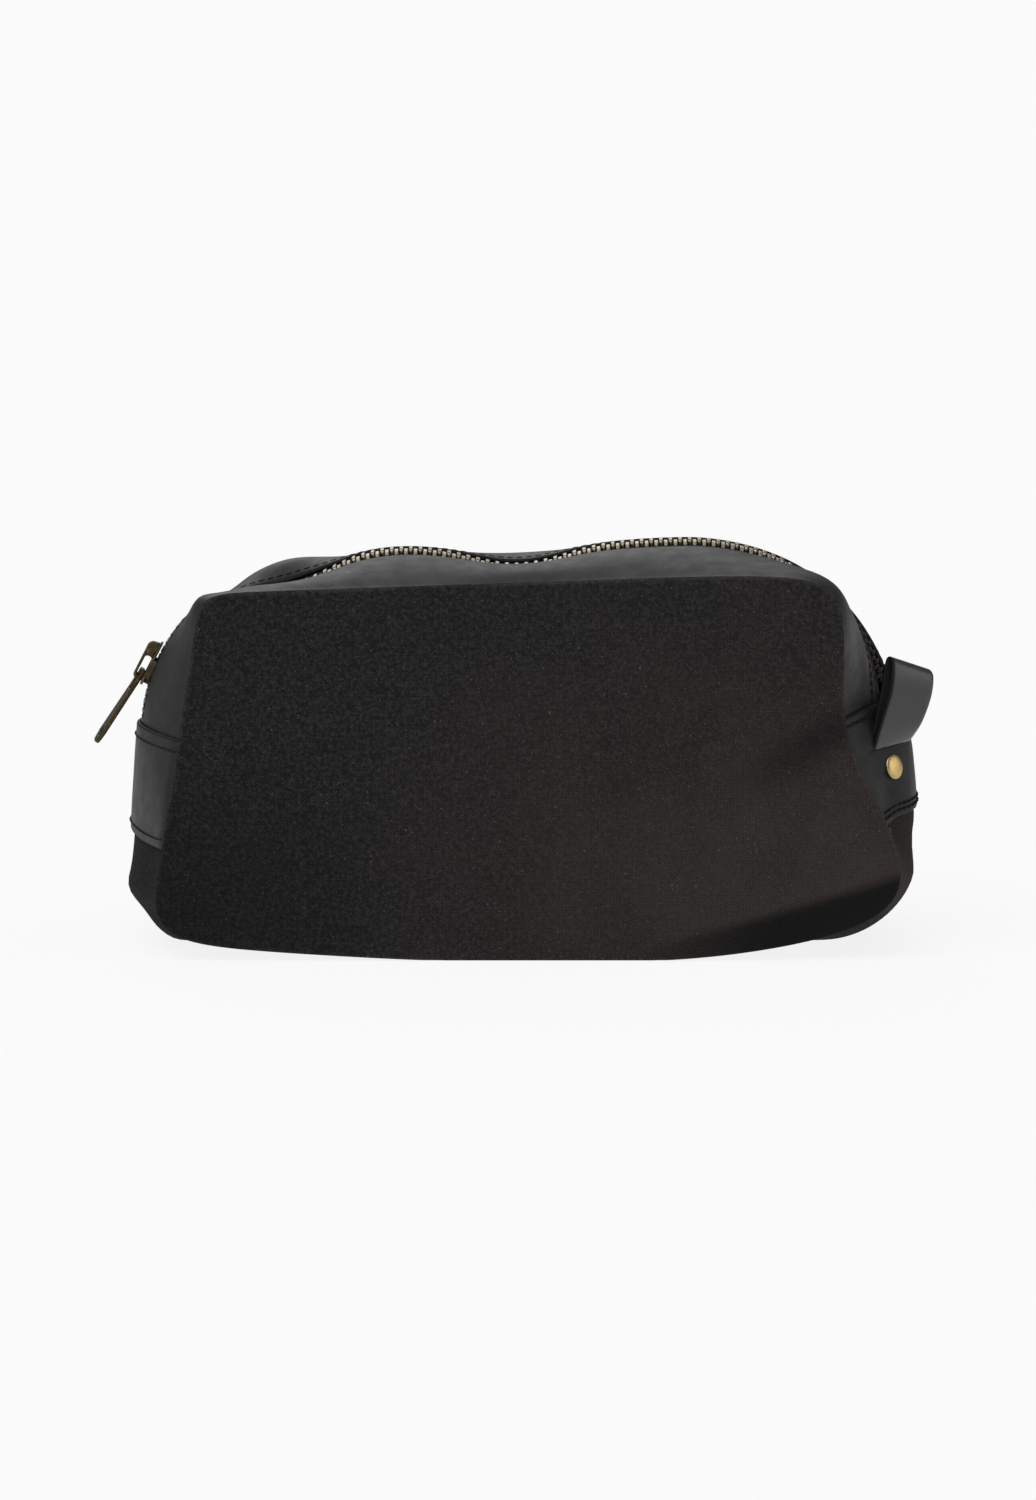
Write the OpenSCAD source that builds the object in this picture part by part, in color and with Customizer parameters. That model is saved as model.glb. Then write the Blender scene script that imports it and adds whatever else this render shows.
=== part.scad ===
// Soft zipped wash bag: two waxed canvas panels joined by one long gusset.
// The gusset is canvas below and leather above, with a metal zip along its top.
// Units are millimetres. X runs along the bag, Y from front to back, Z up.
// The origin is on the floor under the middle of the bag.

/* [Bag] */
// Length of the bag between its two ends
bag_length = 250; // [240:1:260]
// Height of the left shoulder, at the zip
left_height = 124.5; // [123:0.5:126]
// Height of the right shoulder, at the zip
right_height = 127.5; // [126:0.5:129]
// Distance from the middle plane to a panel's seam at the floor
half_depth_floor = 54; // [50:1:58]
// How much that distance shrinks for each millimetre of height
depth_taper = 0.064; // [0.04:0.004:0.08]
// How far a panel bulges beyond its seam
panel_bulge = 6; // [3:0.5:9]

/* [Materials] */
// Thickness of the waxed canvas
canvas_t = 1.2; // [1:0.1:1.4]
// Thickness of the leather
leather_t = 1.4; // [1.2:0.1:1.6]
// How far an end tab stands above the gusset
tab_rise = 0.6; // [0.4:0.1:0.8]
// Thickness of the lining fabric
lining_t = 0.5; // [0.4:0.1:0.6]

/* [Zip] */
// Spacing of the teeth along one row
tooth_pitch = 3.05; // [2.9:0.05:3.2]
// Width of the whole chain of teeth
chain_w = 8.4; // [8:0.1:8.8]
// Half the gap between the two leather edges
zip_gap = 6.5; // [6.3:0.1:7]
// Angle of the slider up the left shoulder, above level
slider_angle = 22.5; // [22:0.5:24]
// Angle of the pull away from the zip
pull_angle = 17; // [14:0.5:20]
// Length of the pull from its pivot to its tip
pull_l = 27; // [24:0.5:30]

/* [Handle] */
// Width of the leather strap
strap_w = 20; // [18:0.5:22]
// Height of the loop above the slit
loop_h = 26.5; // [25.5:0.5:28]
// Radius of the rivet's cap
rivet_r = 4; // [3.6:0.1:4.4]

/* [Hidden] */
$fn = 48;

canvas_colour = [0.13, 0.12, 0.115];
leather_colour = [0.2, 0.2, 0.21];
tape_colour = [0.08, 0.07, 0.07];
metal_colour = [0.62, 0.56, 0.42];
brass_colour = [0.75, 0.62, 0.32];
lining_colour = [0.3, 0.29, 0.27];

// ---- The belt: the gusset's middle line is a belt round four discs ----
// Each disc is [x, z, radius], going up the left end, over and down the right end.
heel_r_left = 20;
heel_r_right = 30;
shoulder_r_left = 60;
shoulder_r_right = 72;
left_inset = 3;
right_inset = 1;
discs = [
    [-bag_length / 2 + heel_r_left, heel_r_left, heel_r_left],
    [-bag_length / 2 + left_inset + shoulder_r_left, left_height - shoulder_r_left, shoulder_r_left],
    [bag_length / 2 - right_inset - shoulder_r_right, right_height - shoulder_r_right, shoulder_r_right],
    [bag_length / 2 - heel_r_right, heel_r_right, heel_r_right]
];
function disc(i) = discs[(i + 4) % 4];
function disc_centre(i) = [disc(i)[0], disc(i)[1]];
// Outward normal's angle on the straight from disc i to the next one.
function straight_normal(i) =
    let (run = disc_centre(i + 1) - disc_centre(i))
    atan2(run[1], run[0]) + acos((disc(i)[2] - disc(i + 1)[2]) / norm(run));
function heading(a) = [cos(a), sin(a)];
function turn_down(from, to) = let (d = from - to) d - 360 * floor(d / 360);
// The belt at station q: 0 to 1 is the left straight, 1 to 2 the left shoulder,
// 2 to 3 the top, 3 to 4 the right shoulder, 4 to 5 the right straight,
// 5 to 6 the right heel, 6 to 7 the floor and 7 to 8 the left heel.
function belt(q) =
    let (
        whole = floor(q),
        part = q - whole,
        i = floor((whole % 8) / 2),
        a = straight_normal(i),
        on_arc = whole % 2 == 1,
        arc_a = a - part * turn_down(a, straight_normal((i + 1) % 4)),
        start = disc_centre(i) + disc(i)[2] * heading(a),
        end = disc_centre(i + 1) + disc(i + 1)[2] * heading(a)
    )
    on_arc ? disc_centre(i + 1) + disc(i + 1)[2] * heading(arc_a) : start + part * (end - start);

// ---- The seams: rounded four-sided outlines round the same centre, front and rear ----
// The rear panel has slumped a little at its top corners.
centre = [0, 60];
front_corners = [
    [-bag_length / 2 + 24, left_height - 10],
    [bag_length / 2 - 26, right_height - 6],
    [bag_length / 2 + 2, 0],
    [-bag_length / 2 + 6.5, 0]
];
rear_corners = [
    [-bag_length / 2 + 30, left_height - 15],
    [bag_length / 2 - 29, right_height - 12],
    [bag_length / 2 - 2, 0],
    [-bag_length / 2 + 6.5, 0]
];
// Sharpness of each corner, in the same order: a higher power makes a tighter corner.
front_power = [24, 10, 5, 8.4];
rear_power = [9, 8, 5.5, 8.4];
waist_pull = 11.5;
waist_angle = 5.6;
waist_spread = 15;
foot_snap = 0.4;
foot_lift = [4.3, 5.2];
function power_at(side, a) =
    let (p = side < 0 ? front_power : rear_power)
    sin(a) >= 0 ? (cos(a) < 0 ? p[0] : p[1]) : (cos(a) < 0 ? p[3] : p[2]);
// How far direction a reaches towards the side from corner i, as a share of that side's distance.
function side_reach(side, i, a) =
    let (
        corners = side < 0 ? front_corners : rear_corners,
        run = corners[(i + 1) % 4] - corners[i],
        normal = [-run[1], run[0]] / norm(run),
        away = normal * (corners[i] - centre)
    )
    max(0, normal * heading(a) / away);
function seam_radius(side, a) =
    let (
        p = power_at(side, a),
        total = side_reach(side, 0, a) ^ p + side_reach(side, 1, a) ^ p
            + side_reach(side, 2, a) ^ p + side_reach(side, 3, a) ^ p
    )
    total ^ (-1 / p) - waist_pull * exp(-((a - waist_angle) / waist_spread) ^ 2);

function smooth(t) = let (s = min(1, max(0, t))) s * s * (3 - 2 * s);
function ramp(x, from, to) = smooth((x - from) / (to - from));
function mix(a, b, t) = a + (b - a) * t;
function half_depth(z) = half_depth_floor - depth_taper * z;

// ---- The gusset's surface ----
// The right end is turned a little towards the front: its middle line moves forward and in.
turn_forward = 21;
turn_in = 8;
turn_slope = 0.9;
function turned(q) =
    let (p = belt(q))
    p[0] > 0 ? ramp(p[1], 112, 58) * ramp(p[1], 20, 42) : 0;
function direction(q) = let (d = belt(q) - centre) d / norm(d);
function direction_angle(q) = let (d = direction(q)) atan2(d[1], d[0]);
function mid_radius(q) = norm(belt(q) - centre) - turn_in * turned(q);
function mid_y(q) = -turn_forward * turned(q);
function seam_point(side, q) =
    let (
        p = centre + seam_radius(side, direction_angle(q)) * direction(q),
        low = min(1, max(0, 1 - p[1] / centre[1])) ^ 2,
        lift = foot_lift[0] * ramp(-p[0], 10, 120) + foot_lift[1] * ramp(p[0], 30, 120)
    )
    [p[0], max(0, p[1] - foot_snap + low * lift)];
// Slope of the gusset where it leaves the seam: none along the floor.
seam_slope = 0.5;
function slope_at_seam(q) = seam_slope * ramp(direction(q)[1], -0.45, 0) * (1 - 0.8 * turned(q));
// Surface point at station q. v runs from -1 at the front seam, by 0 at the middle line,
// to 1 at the rear seam, and lift is the distance outwards from the surface.
function gusset_at(q, v, lift) =
    let (
        front = v < 0,
        s = seam_point(front ? -1 : 1, q),
        depth = half_depth(s[1]),
        reach = front ? depth + mid_y(q) : depth - mid_y(q),
        t = front ? v + 1 : v,
        r0 = front ? norm(s - centre) : mid_radius(q),
        r1 = front ? mid_radius(q) : norm(s - centre),
        lean = turn_slope * turned(q),
        m0 = reach * (front ? slope_at_seam(q) : lean),
        m1 = reach * (front ? lean : -slope_at_seam(q)),
        r = (r0 * (1 + 2 * t) + m0 * t) * (1 - t) ^ 2 + (r1 * (3 - 2 * t) + m1 * (t - 1)) * t ^ 2,
        d = (s - centre) / norm(s - centre),
        p = centre + (r + lift) * d,
        y = front ? mix(-depth, mid_y(q), t) : mix(mid_y(q), depth, t)
    )
    [p[0], y, p[1]];
// v at a distance e from the middle line. A distance of a whole seam or more means the seam.
seam = 500;
function v_at(q, e) =
    let (depth = half_depth(seam_point(e < 0 ? -1 : 1, q)[1]))
    e <= -seam ? -1 : e >= seam ? 1 : e < 0 ? e / (depth + mid_y(q)) : e / (depth - mid_y(q));

// Stations from q0 to q1, with a step that suits each stretch of the belt.
function steps(q0, q1, per_stretch) =
    let (n = max(1, ceil((q1 - q0) * per_stretch)))
    [for (i = [0:n]) mix(q0, q1, i / n)];

// A closed grid of rows by columns, with a near and a far layer.
module slab(near, far, rows, cols) {
    count = rows * cols;
    function at(i, j) = i * cols + j;
    quads = concat(
        [for (i = [0:rows - 2]) for (j = [0:cols - 2])
            [at(i, j), at(i, j + 1), at(i + 1, j + 1), at(i + 1, j)]],
        [for (i = [0:rows - 2]) for (j = [0:cols - 2])
            [count + at(i, j), count + at(i + 1, j), count + at(i + 1, j + 1), count + at(i, j + 1)]],
        [for (i = [0:rows - 2]) [at(i, 0), at(i + 1, 0), count + at(i + 1, 0), count + at(i, 0)]],
        [for (i = [0:rows - 2])
            [at(i, cols - 1), count + at(i, cols - 1), count + at(i + 1, cols - 1), at(i + 1, cols - 1)]],
        [for (j = [0:cols - 2]) [at(0, j), count + at(0, j), count + at(0, j + 1), at(0, j + 1)]],
        [for (j = [0:cols - 2])
            [at(rows - 1, j), at(rows - 1, j + 1), count + at(rows - 1, j + 1), count + at(rows - 1, j)]]
    );
    triangles = [for (f = quads) each [[f[0], f[1], f[2]], [f[0], f[2], f[3]]]];
    polyhedron(concat(near, far), triangles);
}

// A piece of the gusset between two edges, low and high being its two faces' lifts.
module gusset_piece(stations, from_e, to_e, columns, low, high) {
    function grid(lift) = [
        for (q = stations) for (j = [0:columns])
            gusset_at(q, mix(v_at(q, from_e), v_at(q, to_e), j / columns), lift)
    ];
    slab(grid(low), grid(high), len(stations), columns + 1);
}

// Where the pieces end along the belt.
left_tab_bottom = 0.26;
left_tab_top = 1.01;
lip_left = 2.03;
lip_right = 3.11;
right_tab_top = 3.82;
right_tab_bottom = 4.6;
body_gap = 0.4;
lip_gap = body_gap / (bag_length * 0.44);

module strip(side, q0, q1) {
    from_e = side < 0 ? -seam : zip_gap;
    to_e = side < 0 ? -zip_gap : seam;
    color(leather_colour) gusset_piece(steps(q0, q1, 14), from_e, to_e, 8, -leather_t, 0);
}
module lip_strip(side) {
    hinge_gap = 0.994;
    stations = steps(lip_left, lip_right, 14);
    function grid(lift) = [
        for (q = stations) for (j = [0:8])
            gusset_at(q, side * mix(side < 0 ? hinge_gap : abs(v_at(q, zip_gap)),
                side < 0 ? abs(v_at(q, -zip_gap)) : hinge_gap, j / 8), lift)
    ];
    color(leather_colour) slab(grid(-leather_t), grid(0), len(stations), 9);
}

// ---- The panels ----
rim_steps = 12;
rings = [1, 0.9, 0.72, 0.45];
module panel(side, shrink, inner, outer) {
    stations = [for (i = [0:8 * rim_steps - 1]) i / rim_steps];
    n = len(stations);
    function at(q, c, off) =
        let (
            s = seam_point(side, q),
            r = norm(s - centre),
            p = centre + (s - centre) * c * (r - shrink) / r,
            y = half_depth(p[1]) + panel_bulge * (1 - c ^ 2) + off
        )
        [p[0], side * y, p[1]];
    function layer(off) = concat(
        [for (c = rings) for (q = stations) at(q, c, off)],
        [at(0, 0, off)]
    );
    count = n * len(rings) + 1;
    last = n * (len(rings) - 1);
    function next(i) = (i + 1) % n;
    skin = concat(
        [for (k = [0:len(rings) - 2]) for (i = [0:n - 1])
            each [[k * n + i, k * n + next(i), (k + 1) * n + next(i)],
                  [k * n + i, (k + 1) * n + next(i), (k + 1) * n + i]]],
        [for (i = [0:n - 1]) [last + i, last + next(i), count - 1]]
    );
    rim = [for (i = [0:n - 1]) each [[next(i), i, count + i], [next(i), count + i, count + next(i)]]];
    function flipped(faces) = [for (f = faces) [f[2], f[1], f[0]]];
    function moved(faces, by) = [for (f = faces) [f[0] + by, f[1] + by, f[2] + by]];
    faces = concat(skin, moved(flipped(skin), count), rim);
    polyhedron(concat(layer(inner), layer(outer)), side < 0 ? flipped(faces) : faces);
}
module front_panel() { color(canvas_colour) panel(-1, 0, 0, canvas_t); }
module back_panel() { color(canvas_colour) panel(1, 0, 0, canvas_t); }

// ---- The lining: a light bag just inside the canvas ----
lining_gap = 0.3;
lining_edge = 3.2;
module front_lining() { color(lining_colour) panel(-1, lining_edge, -lining_gap - lining_t, -lining_gap); }
module back_lining() { color(lining_colour) panel(1, lining_edge, -lining_gap - lining_t, -lining_gap); }
module gusset_lining() {
    stations = steps(right_tab_top, 8 + left_tab_top, 12);
    behind_tail = 4.4;
    function grid(low) = [
        for (q = stations) for (j = [0:8])
            gusset_at(q, mix(-0.95, 0.95, j / 8), -leather_t - lining_gap - low - behind_tail * turned(q))
    ];
    color(lining_colour) slab(grid(lining_t), grid(0), len(stations), 9);
}

// ---- The gusset's canvas and leather ----
module bottom_gusset() {
    color(canvas_colour)
    gusset_piece(steps(right_tab_bottom, 8 + left_tab_bottom, 12), -seam, seam, 8, -canvas_t, 0);
}
module left_end_tab() {
    color(leather_colour)
    gusset_piece(steps(left_tab_bottom, left_tab_top, 12), -seam, seam, 10, -leather_t, tab_rise);
}
module right_end_tab() {
    color(leather_colour)
    gusset_piece(steps(right_tab_top, right_tab_bottom, 24), -seam, seam, 20, -leather_t, tab_rise);
}
module front_strip_left() { strip(-1, left_tab_top, lip_left - lip_gap); }
module front_strip_middle() { lip_strip(-1); }
module front_strip_right() { strip(-1, lip_right + lip_gap, right_tab_top); }
module rear_strip_left() { strip(1, left_tab_top, lip_left - lip_gap); }
module rear_strip_middle() { lip_strip(1); }
module rear_strip_right() { strip(1, lip_right + lip_gap, right_tab_top); }

// ---- The zip's tape, under the leather edges ----
tape_t = 0.6;
tape_top = -leather_t - 0.5;
tape_w = 14;
module tape(side, q0, q1) {
    near = chain_w / 2 + 0.8;
    from_e = side < 0 ? -tape_w : near;
    to_e = side < 0 ? -near : tape_w;
    color(tape_colour) gusset_piece(steps(q0, q1, 20), from_e, to_e, 3, tape_top - tape_t, tape_top);
}
module front_tape_left() { tape(-1, left_tab_top, lip_left - lip_gap); }
module front_tape_middle() { tape(-1, lip_left, lip_right); }
module front_tape_right() { tape(-1, lip_right + lip_gap, right_tab_top); }
module rear_tape_left() { tape(1, left_tab_top, lip_left - lip_gap); }
module rear_tape_middle() { tape(1, lip_left, lip_right); }
module rear_tape_right() { tape(1, lip_right + lip_gap, right_tab_top); }

// ---- The zip's chain, laid out by length along the belt ----
arc_left = shoulder_r_left * turn_down(straight_normal(0), straight_normal(1)) * PI / 180;
arc_right = shoulder_r_right * turn_down(straight_normal(1), straight_normal(2)) * PI / 180;
top_run = norm(belt(3) - belt(2));
// Station at a length along the belt, measured from where the left shoulder begins.
function station(len_on) =
    len_on < arc_left ? 1 + len_on / arc_left
    : len_on < arc_left + top_run ? 2 + (len_on - arc_left) / top_run
    : 3 + (len_on - arc_left - top_run) / arc_right;
function length_at(q) =
    q < 2 ? (q - 1) * arc_left
    : q < 3 ? arc_left + (q - 2) * top_run
    : arc_left + top_run + (q - 3) * arc_right;
function belt_normal(q) =
    q < 2 ? straight_normal(0) - (q - 1) * turn_down(straight_normal(0), straight_normal(1))
    : q < 3 ? straight_normal(1)
    : straight_normal(1) - (q - 3) * turn_down(straight_normal(1), straight_normal(2));
// Puts a piece on the belt: its x along the zip, its z outwards.
module on_belt(q) {
    p = gusset_at(q, 0, 0);
    translate(p) rotate([0, 90 - belt_normal(q), 0]) children();
}
tooth_t = 1.5;
tooth_h = 3;
tooth_top = -0.1;
half_web = 0.45;
stop_l = 2.6;
chain_start = length_at(left_tab_top) + stop_l + 0.8;
chain_end = length_at(right_tab_top) - stop_l - 1.7;
tooth_count = floor((chain_end - chain_start) / tooth_pitch);
// Teeth of one row whose stations lie between q0 and q1.
module teeth(side, q0, q1) {
    shift = side < 0 ? 0.25 : 0.75;
    color(metal_colour)
    for (i = [0:tooth_count - 1]) {
        q = station(chain_start + (i + shift) * tooth_pitch);
        if (q >= q0 && q < q1)
            on_belt(q)
            translate([-tooth_t / 2, side < 0 ? -chain_w / 2 : half_web, tooth_top - tooth_h])
            cube([tooth_t, chain_w / 2 - half_web, tooth_h]);
    }
}
tooth_margin = 0.012;
module front_teeth_left() { teeth(-1, 1, lip_left - tooth_margin); }
module front_teeth_middle() { teeth(-1, lip_left + tooth_margin, lip_right - tooth_margin); }
module front_teeth_right() { teeth(-1, lip_right + tooth_margin, 4); }
module rear_teeth_left() { teeth(1, 1, lip_left - tooth_margin); }
module rear_teeth_middle() { teeth(1, lip_left + tooth_margin, lip_right - tooth_margin); }
module rear_teeth_right() { teeth(1, lip_right + tooth_margin, 4); }
module zip_top_stops() {
    color(metal_colour)
    on_belt(station(length_at(left_tab_top) + stop_l / 2 + 0.3))
    for (side = [-1, 1])
        translate([-stop_l / 2, side < 0 ? -3.6 : half_web, -3])
        cube([stop_l, 3.6 - half_web, 2.8]);
}
module zip_bottom_stop() {
    color(metal_colour)
    on_belt(station(length_at(right_tab_top) - stop_l / 2 - 1))
    translate([-stop_l / 2, -3.8, -3]) cube([stop_l, 7.6, 2.8]);
}

// ---- The slider, which rides round the left shoulder ----
plate_t = 0.8;
plate_under = 0.6;
plate_below = -4.2;
module slider_outline() {
    polygon([[-7.3, -2.2], [-7.3, 2.2], [-6, 5.2], [-4.6, 5.7], [1, 5.7], [6.6, 4.9], [7.2, 4],
             [7.2, -4], [6.6, -4.9], [1, -5.7], [-4.6, -5.7], [-6, -5.2]]);
}
// Puts a piece where the slider stands on the left shoulder.
module at_slider() {
    on_belt(station((straight_normal(0) - (180 - slider_angle)) * PI / 180 * shoulder_r_left)) children();
}
module slider_body() {
    flange_w = 0.8;
    color(metal_colour)
    at_slider() union() {
        translate([0, 0, plate_under]) linear_extrude(plate_t) slider_outline();
        translate([0, 0, plate_below - plate_t]) linear_extrude(plate_t) slider_outline();
        for (side = [-1, 1]) {
            translate([-3, side * 5.3 - flange_w / 2, -1]) cube([4, flange_w, 1.7]);
            translate([-3, side * 5.3 - flange_w / 2, plate_below - 0.1]) cube([4, flange_w, 1.3]);
        }
        translate([-6.4, -0.25, plate_below - 0.1]) cube([3.6, 0.5, plate_under - plate_below + 0.2]);
    }
}
bail_w = 3.2;
bail_t = 1;
bail_top = 5.7;
module rounded(x0, x1, z0, z1, r) {
    union() {
        translate([x0 + r, z0]) square([x1 - x0 - 2 * r, z1 - z0]);
        translate([x0, z0]) square([x1 - x0, z1 - z0 - r]);
        for (x = [x0 + r, x1 - r]) translate([x, z1 - r]) circle(r);
    }
}
module slider_bail() {
    base = plate_under + plate_t;
    color(metal_colour)
    at_slider()
    translate([0, bail_w / 2, 0]) rotate([90, 0, 0])
    linear_extrude(bail_w)
    difference() {
        rounded(-6.2, 6.2, base, bail_top, 1.6);
        translate([0, -0.01]) rounded(-6.2 + bail_t, 6.2 - bail_t, base, bail_top - bail_t, 0.9);
    }
}
// The pull's pivot, in the slider's own frame.
pivot_x = -3;
pivot_z = 3;
pull_t = 1.2;
module zip_pull() {
    head_w = 6.4;
    tip_w = 8;
    tip_x = -pull_l + tip_w / 2;
    eye_from = 0.9;
    eye_to = 6.6;
    eye_w = 4.4;
    color(metal_colour)
    at_slider()
    translate([pivot_x, 0, pivot_z]) rotate([0, pull_angle, 0])
    translate([0, 0, -pull_t / 2])
    linear_extrude(pull_t)
    difference() {
        union() {
            polygon([[0.8, -head_w / 2], [0.8, head_w / 2], [-8, head_w / 2],
                     [tip_x, tip_w / 2], [tip_x, -tip_w / 2], [-8, -head_w / 2]]);
            translate([tip_x, 0]) circle(tip_w / 2);
        }
        translate([-eye_to, -eye_w / 2]) square([eye_to - eye_from, eye_w]);
        translate([tip_x, 0]) circle(1.9);
    }
}

// ---- The handle: a leather loop out of a slit in the right tab ----
slit_q = 3.92;
rivet_q = 4.05;
loop_t = 1.5;
tail_gap = 0.9;
tail_inner = -leather_t - tail_gap - loop_t;
function unit(v) = v / norm(v);
// Frame at a point on the right tab: along the loop, across the strap, and outwards.
function up_at(q, to_q) = unit(gusset_at(to_q, 0, 0) - gusset_at(q, 0, 0));
function across_at(q) = unit(gusset_at(q, 0.02, 0) - gusset_at(q, -0.02, 0));
module in_frame(origin, up, across) {
    a = unit(up - across * (up * across));
    n = cross(across, a);
    multmatrix([
        [a[0], across[0], n[0], origin[0]],
        [a[1], across[1], n[1], origin[1]],
        [a[2], across[2], n[2], origin[2]],
        [0, 0, 0, 1]
    ]) children();
}
// Middle line of the loop, seen from its side: [along, outwards], from the slit and back to it.
loop_line = [
    [0, 1.2], [0.3 * loop_h, 0.3], [0.62 * loop_h, -0.7], [0.88 * loop_h, 1], [loop_h - loop_t / 2, 4.8],
    [0.88 * loop_h, 8.7], [0.62 * loop_h, 9.7], [0.3 * loop_h, 7], [0, 3]
];
function curve_point(points, u) =
    let (
        n = len(points) - 1,
        i = min(n - 1, floor(u)),
        t = u - i,
        a = points[max(0, i - 1)],
        b = points[i],
        c = points[i + 1],
        d = points[min(n, i + 2)]
    )
    0.5 * (2 * b + (c - a) * t + (2 * a - 5 * b + 4 * c - d) * t ^ 2 + (3 * b - a - 3 * c + d) * t ^ 3);
function curve_side(points, u, by) =
    let (
        e = 0.01,
        n = len(points) - 1,
        run = unit(curve_point(points, min(n, u + e)) - curve_point(points, max(0, u - e)))
    )
    curve_point(points, u) + by * [-run[1], run[0]];
module handle_loop() {
    last = len(loop_line) - 1;
    outer = [for (i = [0:last * 5]) curve_side(loop_line, i / 5, -loop_t / 2)];
    inner = [for (i = [2:last * 5 - 3]) curve_side(loop_line, i / 5, loop_t / 2)];
    clearance = 0.9;
    color(leather_colour)
    in_frame(gusset_at(slit_q, 0, tab_rise + clearance), [0, 0, 1], across_at(slit_q))
    translate([0, strap_w / 2, 0]) rotate([90, 0, 0]) linear_extrude(strap_w)
    difference() {
        polygon(outer);
        polygon(inner);
    }
}
module handle_tail() {
    color(leather_colour)
    gusset_piece(steps(slit_q, 4.3, 24), -strap_w / 2, strap_w / 2, 8, tail_inner, -leather_t - tail_gap);
}
module rivet_frame() {
    in_frame(gusset_at(rivet_q, 0, 0), up_at(rivet_q, slit_q - 0.05), across_at(rivet_q)) children();
}
module rivet_cap() {
    foot = tab_rise + 0.35;
    color(brass_colour)
    rivet_frame() rotate_extrude() polygon([
        [0, foot], [rivet_r - 0.4, foot], [rivet_r, foot + 0.3],
        [rivet_r - 0.15, foot + 0.75], [rivet_r * 0.6, foot + 1.1], [0, foot + 1.25]
    ]);
}
module rivet_back() {
    post_from = tail_inner - 0.2;
    color(brass_colour)
    rivet_frame() union() {
        translate([0, 0, tail_inner - 0.85]) cylinder(h = 0.75, r = rivet_r - 0.4);
        translate([0, 0, post_from]) cylinder(h = tab_rise + 0.35 - post_from, r = 1.4);
    }
}

front_panel();
back_panel();
bottom_gusset();
left_end_tab();
right_end_tab();
front_strip_left();
front_strip_middle();
front_strip_right();
rear_strip_left();
rear_strip_middle();
rear_strip_right();
front_tape_left();
front_tape_middle();
front_tape_right();
rear_tape_left();
rear_tape_middle();
rear_tape_right();
front_teeth_left();
front_teeth_middle();
front_teeth_right();
rear_teeth_left();
rear_teeth_middle();
rear_teeth_right();
zip_top_stops();
zip_bottom_stop();
slider_body();
slider_bail();
zip_pull();
handle_loop();
handle_tail();
rivet_cap();
rivet_back();
front_lining();
back_lining();
gusset_lining();
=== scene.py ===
"""Looks of a soft zipped wash bag: canvas panels, leather top and ends, a metal zip and a riveted loop.

Everything is in metres, in the CAD frame: X along the bag, Y from front to back, Z up, the floor at Z = 0.
The bag's surface is worked out here from the same driving sizes as the CAD, then shaped more finely.
"""

import math

import bmesh
import bpy
import numpy as np
from mathutils import Matrix, Vector


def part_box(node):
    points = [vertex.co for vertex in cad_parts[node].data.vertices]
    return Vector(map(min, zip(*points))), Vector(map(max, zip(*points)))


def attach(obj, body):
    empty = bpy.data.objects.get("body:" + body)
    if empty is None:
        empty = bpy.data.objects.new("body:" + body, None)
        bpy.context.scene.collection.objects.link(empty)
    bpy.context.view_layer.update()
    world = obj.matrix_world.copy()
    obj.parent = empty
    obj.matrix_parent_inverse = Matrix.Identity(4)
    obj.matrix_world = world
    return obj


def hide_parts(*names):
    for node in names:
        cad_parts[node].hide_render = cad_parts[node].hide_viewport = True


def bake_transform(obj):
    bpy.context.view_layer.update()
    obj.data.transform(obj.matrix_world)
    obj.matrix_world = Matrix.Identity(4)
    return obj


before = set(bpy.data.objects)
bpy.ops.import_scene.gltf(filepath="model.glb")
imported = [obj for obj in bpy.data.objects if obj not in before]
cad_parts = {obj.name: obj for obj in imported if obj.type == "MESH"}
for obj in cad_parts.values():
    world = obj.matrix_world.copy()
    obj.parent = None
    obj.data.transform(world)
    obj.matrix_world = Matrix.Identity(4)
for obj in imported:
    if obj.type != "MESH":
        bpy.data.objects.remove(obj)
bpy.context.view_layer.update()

MM = 0.001
BAG = "bag"
SIDES = {"front": -1, "rear": 1}

# ---- sizes shared with the CAD
BAG_LENGTH = 250 * MM
LEFT_HEIGHT = 124.5 * MM
RIGHT_HEIGHT = 127.5 * MM
HALF_DEPTH_FLOOR = 54 * MM
DEPTH_TAPER = 0.064
PANEL_BULGE = 6 * MM
CANVAS_T = 1.1 * MM
LEATHER_T = 1.4 * MM
TOOTH_PITCH = 3.05 * MM
ZIP_GAP = 6.5 * MM
SLIDER_ANGLE = math.radians(22.5)
PULL_ANGLE = math.radians(17)
PULL_TWIST = math.radians(9)
PULL_L = 27 * MM
STRAP_W = 20 * MM

# Discs of the belt that the gusset's middle line follows: x, z, radius.
DISCS = np.array([
    [-BAG_LENGTH / 2 + 20 * MM, 20 * MM, 20 * MM],
    [-BAG_LENGTH / 2 + 63 * MM, LEFT_HEIGHT - 60 * MM, 60 * MM],
    [BAG_LENGTH / 2 - 73 * MM, RIGHT_HEIGHT - 72 * MM, 72 * MM],
    [BAG_LENGTH / 2 - 30 * MM, 30 * MM, 30 * MM],
])
CENTRE = np.array([0, 60 * MM])
# Corners of the seams' outlines: top left, top right, bottom right, bottom left.
CORNERS = {
    -1: np.array([[-101, 114.5], [100.7, 121.5], [132.4, 0], [-118.5, 0]]) * MM,
    1: np.array([[-95, 109.5], [96, 115.5], [123, 0], [-118.5, 0]]) * MM,
}
# How square each of those corners is: a higher power makes it sharper.
CORNER_POWER = {-1: [24, 12, 3.9, 8.4], 1: [9, 8, 5.5, 8.4]}
# The pinch in the seams at the right end: how deep, and its middle and spread in degrees from level.
WAIST_PULL, WAIST_ANGLE, WAIST_SPREAD = 12.7 * MM, 4.6, 21
# What comes within FOOT_SNAP of the floor lies flat on it; the seams lift towards the left and right ends.
FOOT_SNAP = 0.4 * MM
FOOT_LIFT = (4.3 * MM, 5.2 * MM)
# The canvas panels' folded edges cover the gusset's edges by this much.
SEAM_OVERLAP = 1.3 * MM
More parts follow.
